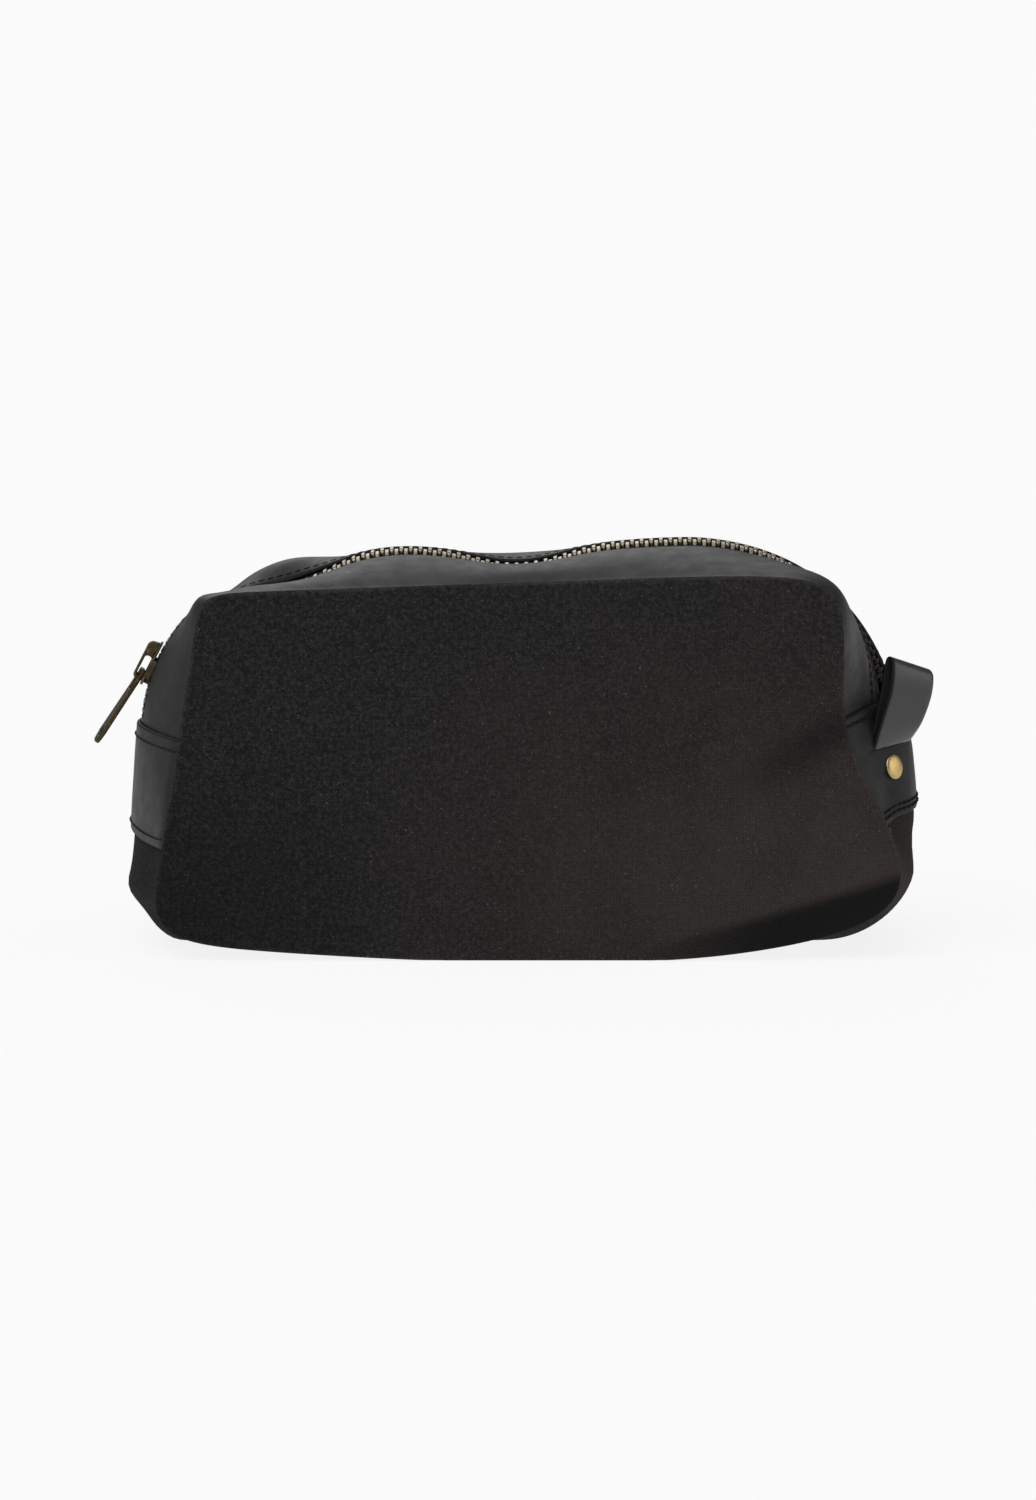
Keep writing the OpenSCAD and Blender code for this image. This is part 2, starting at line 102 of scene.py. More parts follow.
# The right end's middle line is turned towards the front and drawn in.
TURN_FORWARD, TURN_IN, TURN_SLOPE = 21 * MM, 8 * MM, 0.9
SEAM_SLOPE = 0.5
# Stations along the belt where the pieces end.
LEFT_TAB = (0.26, 1.01)
RIGHT_TAB = (3.82, 4.6)
TABS = {"left": LEFT_TAB, "right": RIGHT_TAB}
SLIT_Q, RIVET_Q, TAIL_END_Q = 3.936, 4.05, 4.3


def smooth(t):
    t = np.clip(t, 0, 1)
    return t * t * (3 - 2 * t)


def ramp(x, start, end):
    return smooth((x - start) / (end - start))


def bell(x, width):
    return np.exp(-((x / width) ** 2))


def mix(a, b, t):
    return a + (b - a) * t


def unit(v):
    return v / np.linalg.norm(v, axis=-1, keepdims=True)


def straight_normals():
    """Angle of the outward normal on the straight that leaves each disc."""
    run = np.roll(DISCS, -1, 0) - DISCS
    length = np.hypot(run[:, 0], run[:, 1])
    return np.arctan2(run[:, 1], run[:, 0]) + np.arccos(-run[:, 2] / length)


NORMALS = straight_normals()
TURNS = np.mod(NORMALS - np.roll(NORMALS, -1), 2 * math.pi)


def belt_normal(q):
    """Angle of the belt's outward normal at station q."""
    q = np.mod(q, 8)
    whole = np.floor(q).astype(int)
    i = whole // 2
    return NORMALS[i] - np.where(whole % 2 == 1, q - whole, 0) * TURNS[i]


def belt(q):
    """Middle line (x, z) at stations q: 0-1 left straight, 1-2 left shoulder, 2-3 top, and so on round."""
    q = np.mod(q, 8)
    whole = np.floor(q).astype(int)
    part = (q - whole)[..., None]
    i = whole // 2
    here, there = DISCS[i], DISCS[(i + 1) % 4]
    a = NORMALS[i]
    head = np.stack([np.cos(a), np.sin(a)], -1)
    start = here[..., :2] + here[..., 2:] * head
    end = there[..., :2] + there[..., 2:] * head
    n = belt_normal(q)
    arc = there[..., :2] + there[..., 2:] * np.stack([np.cos(n), np.sin(n)], -1)
    return np.where((whole % 2 == 1)[..., None], arc, start + part * (end - start))


def seam_at(side, direction):
    """Seam point (x, z) in a direction from the centre, on the front (-1) or rear (1) side."""
    corners = CORNERS[side]
    total = 0
    ca, sa = direction[..., 0], direction[..., 1]
    powers = CORNER_POWER[side]
    power = np.choose(2 * (sa < 0) + (ca >= 0), [powers[0], powers[1], powers[3], powers[2]])
    for i in range(4):
        run = corners[(i + 1) % 4] - corners[i]
        normal = np.array([-run[1], run[0]]) / np.hypot(*run)
        total = total + np.maximum(0, direction @ normal / (normal @ (corners[i] - CENTRE))) ** power
    degrees = np.degrees(np.arctan2(sa, ca))
    radius = total ** (-1 / power) - WAIST_PULL * bell(degrees - WAIST_ANGLE, WAIST_SPREAD) - SEAM_OVERLAP
    p = CENTRE + radius[..., None] * direction
    low = np.clip(1 - p[..., 1] / CENTRE[1], 0, 1) ** 2
    lift = FOOT_LIFT[0] * ramp(-p[..., 0], 10 * MM, 120 * MM)
    lift = lift + FOOT_LIFT[1] * ramp(p[..., 0], 30 * MM, 120 * MM)
    z = np.maximum(0, p[..., 1] - FOOT_SNAP + low * lift)
    return np.stack([p[..., 0], z], -1)


def half_depth(z):
    return HALF_DEPTH_FLOOR - DEPTH_TAPER * z


def turned(q):
    """How far the right end is turned towards the front at station q, 0 to 1."""
    p = belt(q)
    share = ramp(p[..., 1], 112 * MM, 58 * MM) * ramp(p[..., 1], 20 * MM, 42 * MM)
    return np.where(p[..., 0] > 0, share, 0)


def reach(side, q):
    """Depth in Y from the middle line to the seam at station q."""
    depth = half_depth(seam_at(side, unit(belt(q) - CENTRE))[..., 1])
    return depth + side * TURN_FORWARD * turned(q)


def reach_at(q, ahead):
    """Reach at station q, to the front seam where ahead is true and to the rear seam elsewhere."""
    return np.where(ahead, reach(-1, q), reach(1, q))


def v_at(q, e):
    """v at a distance e behind the middle line; v runs from -1 at the front seam to 1 at the rear seam."""
    return e / reach_at(q, e < 0)


# ---- how the soft top has sunk
# Each dip: its x, its depth, and its spread to the left and to the right.
SAGS = ((-76 * MM, 11.5 * MM, 18.5 * MM, 19.6 * MM), (-2 * MM, 6.8 * MM, 21 * MM, 21 * MM))
FRONT_FADE, REAR_FADE = 0.85, 0.55


def sag(x, v):
    """How far the zip's line has sunk at x; it fades out towards the seams."""
    depth = 0
    for at, deep, left, right in SAGS:
        depth = depth + deep * bell(x - at, np.where(x < at, left, right))
    fade = np.where(v < 0, smooth(1 + v / FRONT_FADE), smooth(1 - v / REAR_FADE))
    return depth * fade


# The zip lies tilted towards the front, and the leather behind it stands in a hump at the left.
ZIP_TILT = 0.17
TILT_REACH = 9 * MM


def tilt(x, e):
    """Rise of the surface a distance e behind the middle line, over the flat part of the top."""
    share = ramp(x, -88 * MM, -68 * MM) * ramp(x, 104 * MM, 84 * MM)
    return ZIP_TILT * e * bell(e, TILT_REACH) * share


def humps(x, v):
    """Soft rises and hollows of the leather either side of the zip, near the left shoulder."""
    rear = 2.8 * MM * bell(x + 76 * MM, 13 * MM) * bell(v - 0.4, 0.3)
    front = -1.3 * MM * bell(x + 83 * MM, 16 * MM) * bell(v + 0.5, 0.3)
    hollow = 1.8 * MM * bell(x + 95 * MM, 6 * MM) * smooth(2.5 * (1 - np.abs(v)))
    return rear + front - hollow


def ripple(a, b, length, seed=0):
    """Gentle unevenness from -1 to 1, made of five crossing waves."""
    total = 0
    for k in range(5):
        angle = 2.4 * k + 0.7 * seed
        run = (a * math.cos(angle) + b * math.sin(angle)) / (length * (1 + 0.23 * k))
        total = total + np.sin(2 * math.pi * run + 1.9 * k + seed)
    return total / 5


def skin(q, v):
    """The gusset's outer surface at station q and share v of the way across."""
    q, v = np.broadcast_arrays(np.asarray(q, float), np.asarray(v, float))
    front = v < 0
    ray = unit(belt(q) - CENTRE)
    s = np.where(front[..., None], seam_at(-1, ray), seam_at(1, ray))
    turn = turned(q)
    mid_y, mid_r = -TURN_FORWARD * turn, np.linalg.norm(belt(q) - CENTRE, axis=-1) - TURN_IN * turn
    depth = half_depth(s[..., 1])
    across = np.where(front, depth + mid_y, depth - mid_y)
    seam_r = np.linalg.norm(s - CENTRE, axis=-1)
    t = np.where(front, v + 1, v)
    r0, r1 = np.where(front, seam_r, mid_r), np.where(front, mid_r, seam_r)
    slope = SEAM_SLOPE * ramp(ray[..., 1], -0.45, 0) * (1 - 0.8 * turn)
    lean = TURN_SLOPE * turn
    m0, m1 = across * np.where(front, slope, lean), across * np.where(front, lean, -slope)
    r = (r0 * (1 + 2 * t) + m0 * t) * (1 - t) ** 2 + (r1 * (3 - 2 * t) + m1 * (t - 1)) * t ** 2
    near_seam = smooth(np.abs(v))[..., None]
    d = unit(mix(ray, (s - CENTRE) / seam_r[..., None], near_seam))
    p = CENTRE + r[..., None] * d
    y = np.where(front, mix(-depth, mid_y, t), mix(mid_y, depth, t))
    top = ramp(p[..., 1], 70 * MM, 105 * MM)
    shift = tilt(p[..., 0], y - mid_y) + humps(p[..., 0], v) - sag(p[..., 0], v)
    z = np.maximum(0, p[..., 1] + shift * top)
    return np.stack([p[..., 0], y, z], -1)


def skin_frame(q, v):
    """Point, direction along the belt, direction across and outward normal of the gusset's surface."""
    q, v = np.broadcast_arrays(np.asarray(q, float), np.asarray(v, float))
    dq, dv = 0.004, 0.01
    lo, hi = np.maximum(v - dv, -1), np.minimum(v + dv, 1)
    along = unit(skin(q + dq, v) - skin(q - dq, v))
    across = unit(skin(q, hi) - skin(q, lo))
    normal = unit(np.cross(along, across))
    return skin(q, v), along, across, normal


def place(q, v, height):
    """Points at a height above the gusset's surface."""
    p, _, _, normal = skin_frame(q, v)
    return p + normal * np.asarray(height)[..., None]


def seam_distance(q, v):
    return (1 - np.abs(v)) * reach_at(q, v < 0)


def rolled_edge(d, radius, ridge):
    """Height near a turned seam: it drops into the seam's groove and stands proud just beside it."""
    groove = radius * (np.sqrt(1 - (1 - np.minimum(d / radius, 1)) ** 2) - 1)
    return groove + ridge * smooth(d / (1.6 * radius)) * (1 - smooth((d - radius) / (7 * radius)))


# ---- making meshes
def signed_volume(points, faces):
    """Six times the volume inside the faces: below zero if they face inwards."""
    corners = np.array([(f[0], f[i], f[i + 1]) for f in faces for i in range(1, len(f) - 1)])
    a, b, c = (points[corners[:, k]] for k in range(3))
    return float((a * np.cross(b, c)).sum())


def finished(mesh, sharp):
    """An object of a mesh, shaded smooth but for the edges that turn by more than sharp degrees."""
    mesh.polygons.foreach_set("use_smooth", [True] * len(mesh.polygons))
    mesh.set_sharp_from_angle(angle=math.radians(sharp))
    obj = bpy.data.objects.new(mesh.name, mesh)
    bpy.context.scene.collection.objects.link(obj)
    return obj


def mesh_object(name, points, faces, uv, materials, face_slots=None, sharp=40):
    """A closed mesh facing outwards, with a UV layer in metres."""
    points = np.asarray(points, float).reshape(-1, 3)
    if signed_volume(points, faces) < 0:
        faces = [tuple(reversed(f)) for f in faces]
    mesh = bpy.data.meshes.new(name)
    mesh.from_pydata(points.tolist(), [], faces)
    layer = mesh.uv_layers.new(name="metres")
    loops = np.zeros(len(mesh.loops), int)
    mesh.loops.foreach_get("vertex_index", loops)
    layer.data.foreach_set("uv", np.asarray(uv, float).reshape(-1, 2)[loops].ravel())
    for m in materials:
        mesh.materials.append(m)
    if face_slots is not None:
        mesh.polygons.foreach_set("material_index", np.asarray(face_slots, np.int32))
    obj = finished(mesh, sharp)
    mesh.validate()
    return obj


def paint(obj, **layers):
    """Point attributes that a material reads, one value for each point."""
    for name, values in layers.items():
        attribute = obj.data.attributes.new(name, "FLOAT", "POINT")
        attribute.data.foreach_set("value", np.asarray(values, np.float32).ravel())


def grid_faces(rows, cols, wrap=False, base=0):
    def at(i, j):
        return base + i * cols + j % cols
    return [(at(i, j), at(i, j + 1), at(i + 1, j + 1), at(i + 1, j))
            for i in range(rows - 1) for j in range(cols if wrap else cols - 1)]


def tube_faces(rows, cols, base=0):
    """Faces of a small tube of rings, closed with one face at each end."""
    last = base + (rows - 1) * cols
    ends = [tuple(base + k for k in reversed(range(cols))), tuple(last + k for k in range(cols))]
    return grid_faces(rows, cols, True, base) + ends


def shell(name, outer, inner, uv, materials, **more):
    """A sheet with thickness: two grids of the same shape, joined round their border."""
    rows, cols = outer.shape[:2]
    count = rows * cols
    faces = grid_faces(rows, cols) + [tuple(reversed(f)) for f in grid_faces(rows, cols, base=count)]
    border = [(0, j) for j in range(cols)] + [(i, cols - 1) for i in range(1, rows)]
    border += [(rows - 1, j) for j in range(cols - 2, -1, -1)] + [(i, 0) for i in range(rows - 2, 0, -1)]
    ring = [i * cols + j for i, j in border]
    for k, a in enumerate(ring):
        b = ring[(k + 1) % len(ring)]
        faces.append((b, a, count + a, count + b))
    points = np.concatenate([outer.reshape(-1, 3), inner.reshape(-1, 3)])
    return mesh_object(name, points, faces, np.concatenate([uv.reshape(-1, 2)] * 2), materials, **more)


def loft(name, rings, uv, materials, column_slots=None, **more):
    """Closed rings joined into a tube; each ring is flat, so its two halves also close the ends."""
    rows, cols = rings.shape[:2]
    faces = grid_faces(rows, cols, wrap=True)
    slots = [column_slots[j] if column_slots else 0 for _ in range(rows - 1) for j in range(cols)]
    for i in (0, rows - 1):
        base = i * cols
        for j in range(cols // 2):
            far = cols - 1 - j
            if j + 1 < far - 1:
                face = (base + j, base + j + 1, base + far - 1, base + far)
            elif j + 1 == far - 1:
                face = (base + j, base + j + 1, base + far)
            else:
                break
            faces.append(tuple(reversed(face)) if i == 0 else face)
            slots.append(column_slots[j] if column_slots else 0)
    return mesh_object(name, rings, faces, uv, materials, slots, **more)


def slab_ring(t_outer, both_ends):
    """A leather strip's section: shares across it, heights, and which columns are its cut edge.

    It runs along the outside, round the far edge, and back along the inside; both_ends rounds the near
    edge as well. The third result is how far each point stands beyond the edge it rounds.
    """
    half, flat = LEATHER_T / 2, [0.0] * len(t_outer)
    bend = [math.pi * k / 4 for k in (1, 2, 3)]
    shares = list(t_outer) + [t_outer[-1]] * 3 + list(reversed(t_outer))
    heights = flat + [half * math.cos(a) - half for a in bend] + [-LEATHER_T] * len(t_outer)
    beyond = flat + [half * math.sin(a) for a in bend] + flat
    slots = [0] * (len(t_outer) - 1) + [1] * 4 + [0] * len(t_outer)
    if both_ends:
        shares += [t_outer[0]] * 3
        heights += [-half - half * math.cos(a) for a in bend]
        beyond += [-half * math.sin(a) for a in bend]
        slots = slots[:-1] + [1] * 4
    return np.array(shares), np.array(heights), np.array(beyond), slots


def settle(obj, nodes=(), body=None, blend=None):
    """Hides the CAD nodes that a piece stands for, and parents it to its body; a piece with a blend only
    has its transform baked in.
    """
    if nodes:
        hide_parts(*nodes)
    if blend:
        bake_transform(obj)
    else:
        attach(obj, body or BAG)
    return obj


def lengths(points):
    """Distance along a line of points, from its first."""
    step = np.linalg.norm(np.diff(points, axis=0), axis=1)
    return np.concatenate([[0], np.cumsum(step)])


# ---- materials
class Nodes:
    """Adds nodes to one tree; an input that is given as a socket is linked, and any other is set."""

    def __init__(self, tree):
        self.tree = tree

    def put(self, node, inputs):
        for key, value in inputs.items():
            if isinstance(value, bpy.types.NodeSocket):
                self.tree.links.new(value, node.inputs[key])
            else:
                node.inputs[key].default_value = value

    def add(self, kind, inputs=(), **settings):
        node = self.tree.nodes.new(kind)
        for key, value in settings.items():
            setattr(node, key, value)
        self.put(node, dict(inputs))
        return node

    def maths(self, operation, a, b=0.0):
        return self.add("ShaderNodeMath", {0: a, 1: b}, operation=operation).outputs[0]

    def times(self, a, b):
        return self.maths("MULTIPLY", a, b)

    def plus(self, a, b):
        return self.maths("ADD", a, b)

    def remap(self, value, low, high, to_low=0.0, to_high=1.0):
        inputs = {"Value": value, "From Min": low, "From Max": high, "To Min": to_low, "To Max": to_high}
        return self.add("ShaderNodeMapRange", inputs).outputs["Result"]

    def mixed(self, share, a, b):
        """Colour a, going over to b as share goes from 0 to 1."""
        inputs = {k: (*c, 1) if isinstance(c, tuple) else c for k, c in ((0, share), (6, a), (7, b))}
        return self.add("ShaderNodeMix", inputs, data_type="RGBA").outputs[2]


class Finish(Nodes):
    """A material in the making."""

    def __init__(self, name):
        self.material = bpy.data.materials.new(name)
        self.material.use_nodes = True
        super().__init__(self.material.node_tree)

    def metres(self, scale=(1, 1, 1)):
        """The piece's own UV in metres, times scale."""
        uv = self.add("ShaderNodeUVMap", uv_map="metres").outputs[0]
        return self.add("ShaderNodeMapping", {"Vector": uv, "Scale": scale}).outputs[0]

    def spot(self):
        """The point's place in the bag."""
        return self.add("ShaderNodeTexCoord").outputs["Object"]

    def split(self, vector):
        return self.add("ShaderNodeSeparateXYZ", {0: vector}).outputs

    def painted(self, name):
        return self.add("ShaderNodeAttribute", attribute_name=name).outputs["Fac"]

    def noise(self, vector, scale, detail=3.0, rough=0.55):
        inputs = {"Vector": vector, "Scale": scale, "Detail": detail, "Roughness": rough}
        return self.add("ShaderNodeTexNoise", inputs).outputs["Fac"]

    def weave(self, pitch, wander):
        """Plain weave, 0 to 1: threads crossing over and under each other."""
        push = self.times(self.maths("SUBTRACT", self.noise(self.metres(), 900.0, 2.0), 0.5), wander)
        shake = self.add("ShaderNodeCombineXYZ", {0: push, 1: push}).outputs[0]
        moved = self.add("ShaderNodeVectorMath", {0: self.metres(), 1: shake}, operation="ADD").outputs[0]
        warp, weft = (self.maths("SINE", self.times(c, math.pi / pitch)) for c in self.split(moved)[:2])
        threads = self.plus(self.maths("ABSOLUTE", warp), self.maths("ABSOLUTE", weft))
        return self.plus(self.times(self.times(warp, weft), 0.3), self.times(threads, 0.35))

    def done(self, colour, roughness, height=None, depth=0.0, shine=0.5, **more):
        """Sets the shader; height times depth is its fine relief, and shine its specular level."""
        inputs = {"Base Color": (*colour, 1) if isinstance(colour, tuple) else colour,
                  "Roughness": roughness, "Specular IOR Level": shine, **more}
        if height is not None:
            relief = {"Height": height, "Distance": depth, "Strength": 1.0}
            inputs["Normal"] = self.add("ShaderNodeBump", relief).outputs[0]
        self.put(self.tree.nodes["Principled BSDF"], inputs)
        return self.material


def canvas_material():
    """Woven cotton: rubbed lighter where wear is 1, and mixed towards near black by a second point
    attribute, which holds painted shade and, on the base, a little darker tone all over.
    """
    m = Finish("waxed_canvas")
    weave = m.weave(0.55 * MM, 0.4 * MM)
    cloudy = m.noise(m.spot(), 26.0, 5.0, 0.65)
    rubbed = m.noise(m.spot(), 850.0, 3.0, 0.7)
    slubs = m.noise(m.metres((300, 2200, 1)), 1.0, 2.0)
    specks = m.noise(m.metres(), 1100.0, 1.0)
    x, _, z = m.split(m.spot())
    # Painted light: the canvas is painted lighter towards the right, and lighter and browner low at the
    # right, standing in for how the light falls.
    right = m.remap(x, -0.06, 0.1)
    lit_brown_lower_right = m.times(right, m.remap(z, 0.11, 0.03))
    shade = m.mixed(right, (0.0135, 0.0132, 0.0142), (0.0225, 0.0202, 0.0195))
    worn = m.times(m.painted("wear"), m.remap(rubbed, 0.35, 0.6, 0.3, 1.0))
    worn = m.times(worn, m.remap(cloudy, 0.35, 0.6, 0.2, 0.9))
    for share, colour in (
        (lit_brown_lower_right, (0.058, 0.046, 0.039)),
        (m.remap(cloudy, 0.32, 0.68, 0.6, 0.0), (0.0095, 0.0093, 0.0102)),
        (m.remap(rubbed, 0.42, 0.72, 0.0, 0.75), (0.056, 0.051, 0.049)),
        (m.remap(slubs, 0.45, 0.8, 0.0, 0.4), (0.045, 0.041, 0.04)),
        (m.remap(weave, 0.1, 0.7, 0.74, 0.0), (0.002, 0.002, 0.0023)),
        (m.remap(specks, 0.7, 0.78, 0.0, 0.6), (0.13, 0.12, 0.115)),
        (worn, (0.05, 0.045, 0.043)),
        # Painted shade: near black where the panels and the base carry painted shade in their point
        # attribute.
        (m.painted("wax"), (0.0045, 0.0045, 0.005)),
    ):
        shade = m.mixed(share, shade, colour)
    height = m.plus(weave, m.times(slubs, 0.5))
    return m.done(shade, m.remap(cloudy, 0.2, 0.8, 0.78, 0.95), height, 0.16 * MM, 0.06)


def leather_material(name, dark, light, rough_at, shine):
    """Smooth leather in two close tints, with fine creases; rough_at is its roughness."""
    m = Finish(name)
    grain = m.add("ShaderNodeTexVoronoi", {"Vector": m.metres(), "Scale": 1500.0}).outputs["Distance"]
    creases = m.noise(m.metres(), 160.0, 5.0, 0.6)
    cloudy = m.noise(m.spot(), 30.0, 3.0)
    rough = m.plus(m.remap(creases, 0.3, 0.7, rough_at - 0.04, rough_at + 0.07),
                   m.remap(cloudy, 0.3, 0.7, -0.02, 0.04))
    height = m.plus(m.times(grain, 0.35), m.times(creases, 1.2))
    return m.done(m.mixed(m.remap(cloudy, 0.3, 0.7), dark, light), rough, height, 0.05 * MM, shine)


def edge_material():
    m = Finish("painted_edge")
    lumps = m.noise(m.spot(), 900.0)
    shade = m.mixed(lumps, (0.004, 0.004, 0.005), (0.011, 0.011, 0.012))
    return m.done(shade, m.remap(lumps, 0.3, 0.7, 0.5, 0.7), lumps, 0.08 * MM, 0.15)


def cloth_material(name, pitch, dark, light, roughness):
    """Plain woven cloth for the zip's tape and the lining."""
    m = Finish(name)
    weave = m.weave(pitch, 0.1 * MM)
    shade = m.mixed(m.remap(m.noise(m.spot(), 40.0), 0.3, 0.7), dark, light)
    shade = m.mixed(m.remap(weave, 0.2, 0.8, 0.6, 0.0), shade, tuple(c * 0.4 for c in dark))
    return m.done(shade, m.remap(weave, 0.2, 0.8, roughness + 0.08, roughness), weave, 0.08 * MM)


def thread_material():
    m = Finish("thread")
    twist = {"Vector": m.metres((1, 1.6, 1)), "Scale": 900.0}
    strands = m.add("ShaderNodeTexWave", twist).outputs["Fac"]
    shade = m.mixed(strands, (0.002, 0.002, 0.003), (0.008, 0.008, 0.011))
    return m.done(shade, m.remap(strands, 0.0, 1.0, 0.75, 0.5), strands, 0.05 * MM, 0.12)


def metal_material(name, bright, tarnish, roughness, cover, shade_from_x=9.0):
    """Antique brass: tarnished in patches, worn bright where wear is 1, and painted dark beyond the x given
    last, as painted shade.
    """
    m = Finish(name)
    tarnish_and_painted_shade = m.remap(m.noise(m.spot(), 420.0, 5.0, 0.65), 0.5 - cover, 0.9 - cover)
    tarnish_and_painted_shade = m.times(tarnish_and_painted_shade, m.remap(m.painted("wear"), 0.0, 1.0, 1.0, 0.25))
    # Painted shade: past that x the metal takes the dark tarnish colour, where it lies in shade.
    tarnish_and_painted_shade = m.maths("MAXIMUM", tarnish_and_painted_shade, m.remap(m.split(m.spot())[0], shade_from_x, shade_from_x + 0.01))
    scratches = m.noise(m.spot(), 2600.0, 2.0)
    return m.done(m.mixed(tarnish_and_painted_shade, bright, tarnish), m.remap(tarnish_and_painted_shade, 0.0, 1.0, roughness, roughness + 0.22),
                  scratches, 0.02 * MM, Metallic=1.0)


CANVAS = canvas_material()
LEATHER = leather_material("leather", (0.0095, 0.0093, 0.0102), (0.018, 0.0176, 0.0188), 0.44, 0.1)
# The loop's leather: glossier than the rest, and painted lighter, a painted light standing in for the light
# on the strap.
LIT_STRAP_LEATHER = leather_material("strap_leather_painted_lighter", (0.021, 0.0206, 0.0215), (0.032, 0.0314, 0.033), 0.26, 0.36)
BACKING = leather_material("leather_backing", (0.02, 0.019, 0.018), (0.034, 0.031, 0.029), 0.8, 0.1)
EDGE = edge_material()
TAPE = cloth_material("zip_tape", 0.3 * MM, (0.007, 0.007, 0.0075), (0.012, 0.012, 0.013), 0.8)
LINING = cloth_material("lining_cloth", 0.26 * MM, (0.09, 0.086, 0.078), (0.13, 0.124, 0.113), 0.75)
THREAD = thread_material()
# The teeth past x = 84 mm, at the right end behind the leather, are painted dark as painted shade.
TEETH = metal_material("zip_teeth", (0.5, 0.44, 0.33), (0.028, 0.018, 0.011), 0.36, 0.34, 84 * MM)
SLIDER = metal_material("slider_brass", (0.27, 0.21, 0.12), (0.018, 0.013, 0.008), 0.28, 0.4)
RIVET = metal_material("rivet_brass", (0.5, 0.36, 0.15), (0.28, 0.19, 0.08), 0.34, 0.06)

# ---- the two canvas panels
PANEL_CELLS = 150
SEAM_ROLL = 0.55 * MM


def spread(cells):
    """Even shares from -1 to 1, drawn closer together near both ends."""
    s = np.linspace(-1, 1, cells + 1)
    return 0.25 * s + 0.75 * np.sin(s * math.pi / 2)


def panel_outline(side, u, w):
    """Seam point (x, z) that the square's point (u, w) lies in line with, and its share of the way out."""
    c = np.maximum(np.maximum(np.abs(u), np.abs(w)), 1e-6)
    across, up = (u / c + 1) / 2, (w / c + 1) / 2
    top_left, top_right, low_right, low_left = CORNERS[side]
    across, up = across[..., None], up[..., None]
    target = mix(mix(low_left, low_right, across), mix(top_left, top_right, across), up)
    ray = unit(target - CENTRE)
    return seam_at(side, ray), ray, c


def along_crease(x, z):
    """Distances along and off the crease that runs down to the left from the pinch."""
    pinch = np.array([99, 72]) * MM
    along = unit(np.array([-0.86, -0.5]))
    run = (x - pinch[0]) * along[0] + (z - pinch[1]) * along[1]
    return run, (x - pinch[0]) * -along[1] + (z - pinch[1]) * along[0]


def front_folds(x, z):
    """Creases and hollows of the front canvas, outwards in metres."""
    run, off = along_crease(x, z)
    fade = ramp(run, 62 * MM, 6 * MM) * ramp(run, -8 * MM, 4 * MM)
    crease = -2.0 * MM * bell(off, 6.5 * MM) * fade + 1.1 * MM * bell(off + 11 * MM, 8 * MM) * fade
    line = 17.5 * MM + 0.32 * (x - 81 * MM)
    under = ramp(x, 30 * MM, 95 * MM) * smooth((line - z) / (16 * MM))
    waves = 0.45 * MM * ripple(x, z, 60 * MM, 1) + 0.12 * MM * ripple(x, z, 17 * MM, 2)
    hollow = -1.6 * MM * bell(x + 20 * MM, 55 * MM) * bell(z - 92 * MM, 22 * MM)
    return crease - 4.2 * MM * under + waves + hollow


def rear_folds(x, z):
    waves = 0.5 * MM * ripple(x, z, 62 * MM, 5) + 0.14 * MM * ripple(x, z, 19 * MM, 6)
    return waves - 1.2 * MM * bell(x - 40 * MM, 50 * MM) * bell(z - 85 * MM, 24 * MM)


def panel_grid(side, offset, inset=-SEAM_OVERLAP, cells=PANEL_CELLS):
    """A panel's grid: it bulges, rolls over into its seam, and turns under along the floor.

    inset is how far its edge stays inside the seam; below zero it covers the seam, and rolls over.
    """
    u, w = np.meshgrid(spread(cells), spread(cells))
    edge, ray, c = panel_outline(side, u, w)
    away = np.linalg.norm(edge - CENTRE, axis=-1)
    turn = 0.004
    cos_t, sin_t = math.cos(turn), math.sin(turn)
    ahead = seam_at(side, np.stack([ray[..., 0] * cos_t - ray[..., 1] * sin_t,
                                    ray[..., 0] * sin_t + ray[..., 1] * cos_t], -1))
    tangent = unit(ahead - edge)
    facing = np.abs(ray[..., 0] * tangent[..., 1] - ray[..., 1] * tangent[..., 0])
    d = (1 - c) * away * facing
    out = unit(edge - CENTRE)
    p = CENTRE + out * (c * (away - inset))[..., None]
    p[..., 1] = np.maximum(p[..., 1], 0)
    pillow = (1 - np.abs(u) ** 2.6) * (1 - np.abs(w) ** 2.2)
    x, z = p[..., 0], p[..., 1]
    inside = smooth(d / (9 * MM))
    folds = (front_folds if side < 0 else rear_folds)(x, z) * inside
    belly = 3.4 * MM * ramp(x, -40 * MM, 90 * MM) * bell(z - 24 * MM, 22 * MM) * inside
    rise = PANEL_BULGE * pillow + folds + belly
    if inset < 0:
        rise = rise + rolled_edge(d, SEAM_ROLL, 0.22 * MM)
    y = side * (half_depth(z) + rise + offset)
    return np.stack([x, y, z], -1), np.stack([x, z], -1), d


def wax_on_front(x, z):
    """Painted shade on the front canvas: under the lower right where it turns under, along its crease, and
    low at the left.
    """
    line = 18.5 * MM + 0.29 * (x - 81 * MM)
    under = 0.85 * ramp(x, 20 * MM, 80 * MM) * smooth((line - z) / (5 * MM))
    run, off = along_crease(x, z)
    crease = 0.5 * bell(off, 6 * MM) * ramp(run, 55 * MM, 5 * MM) * ramp(run, -12 * MM, 2 * MM)
    low_left = 0.45 * ramp(x, -20 * MM, -110 * MM) * ramp(z, 80 * MM, 15 * MM)
    return np.maximum(np.maximum(under, crease), low_left)


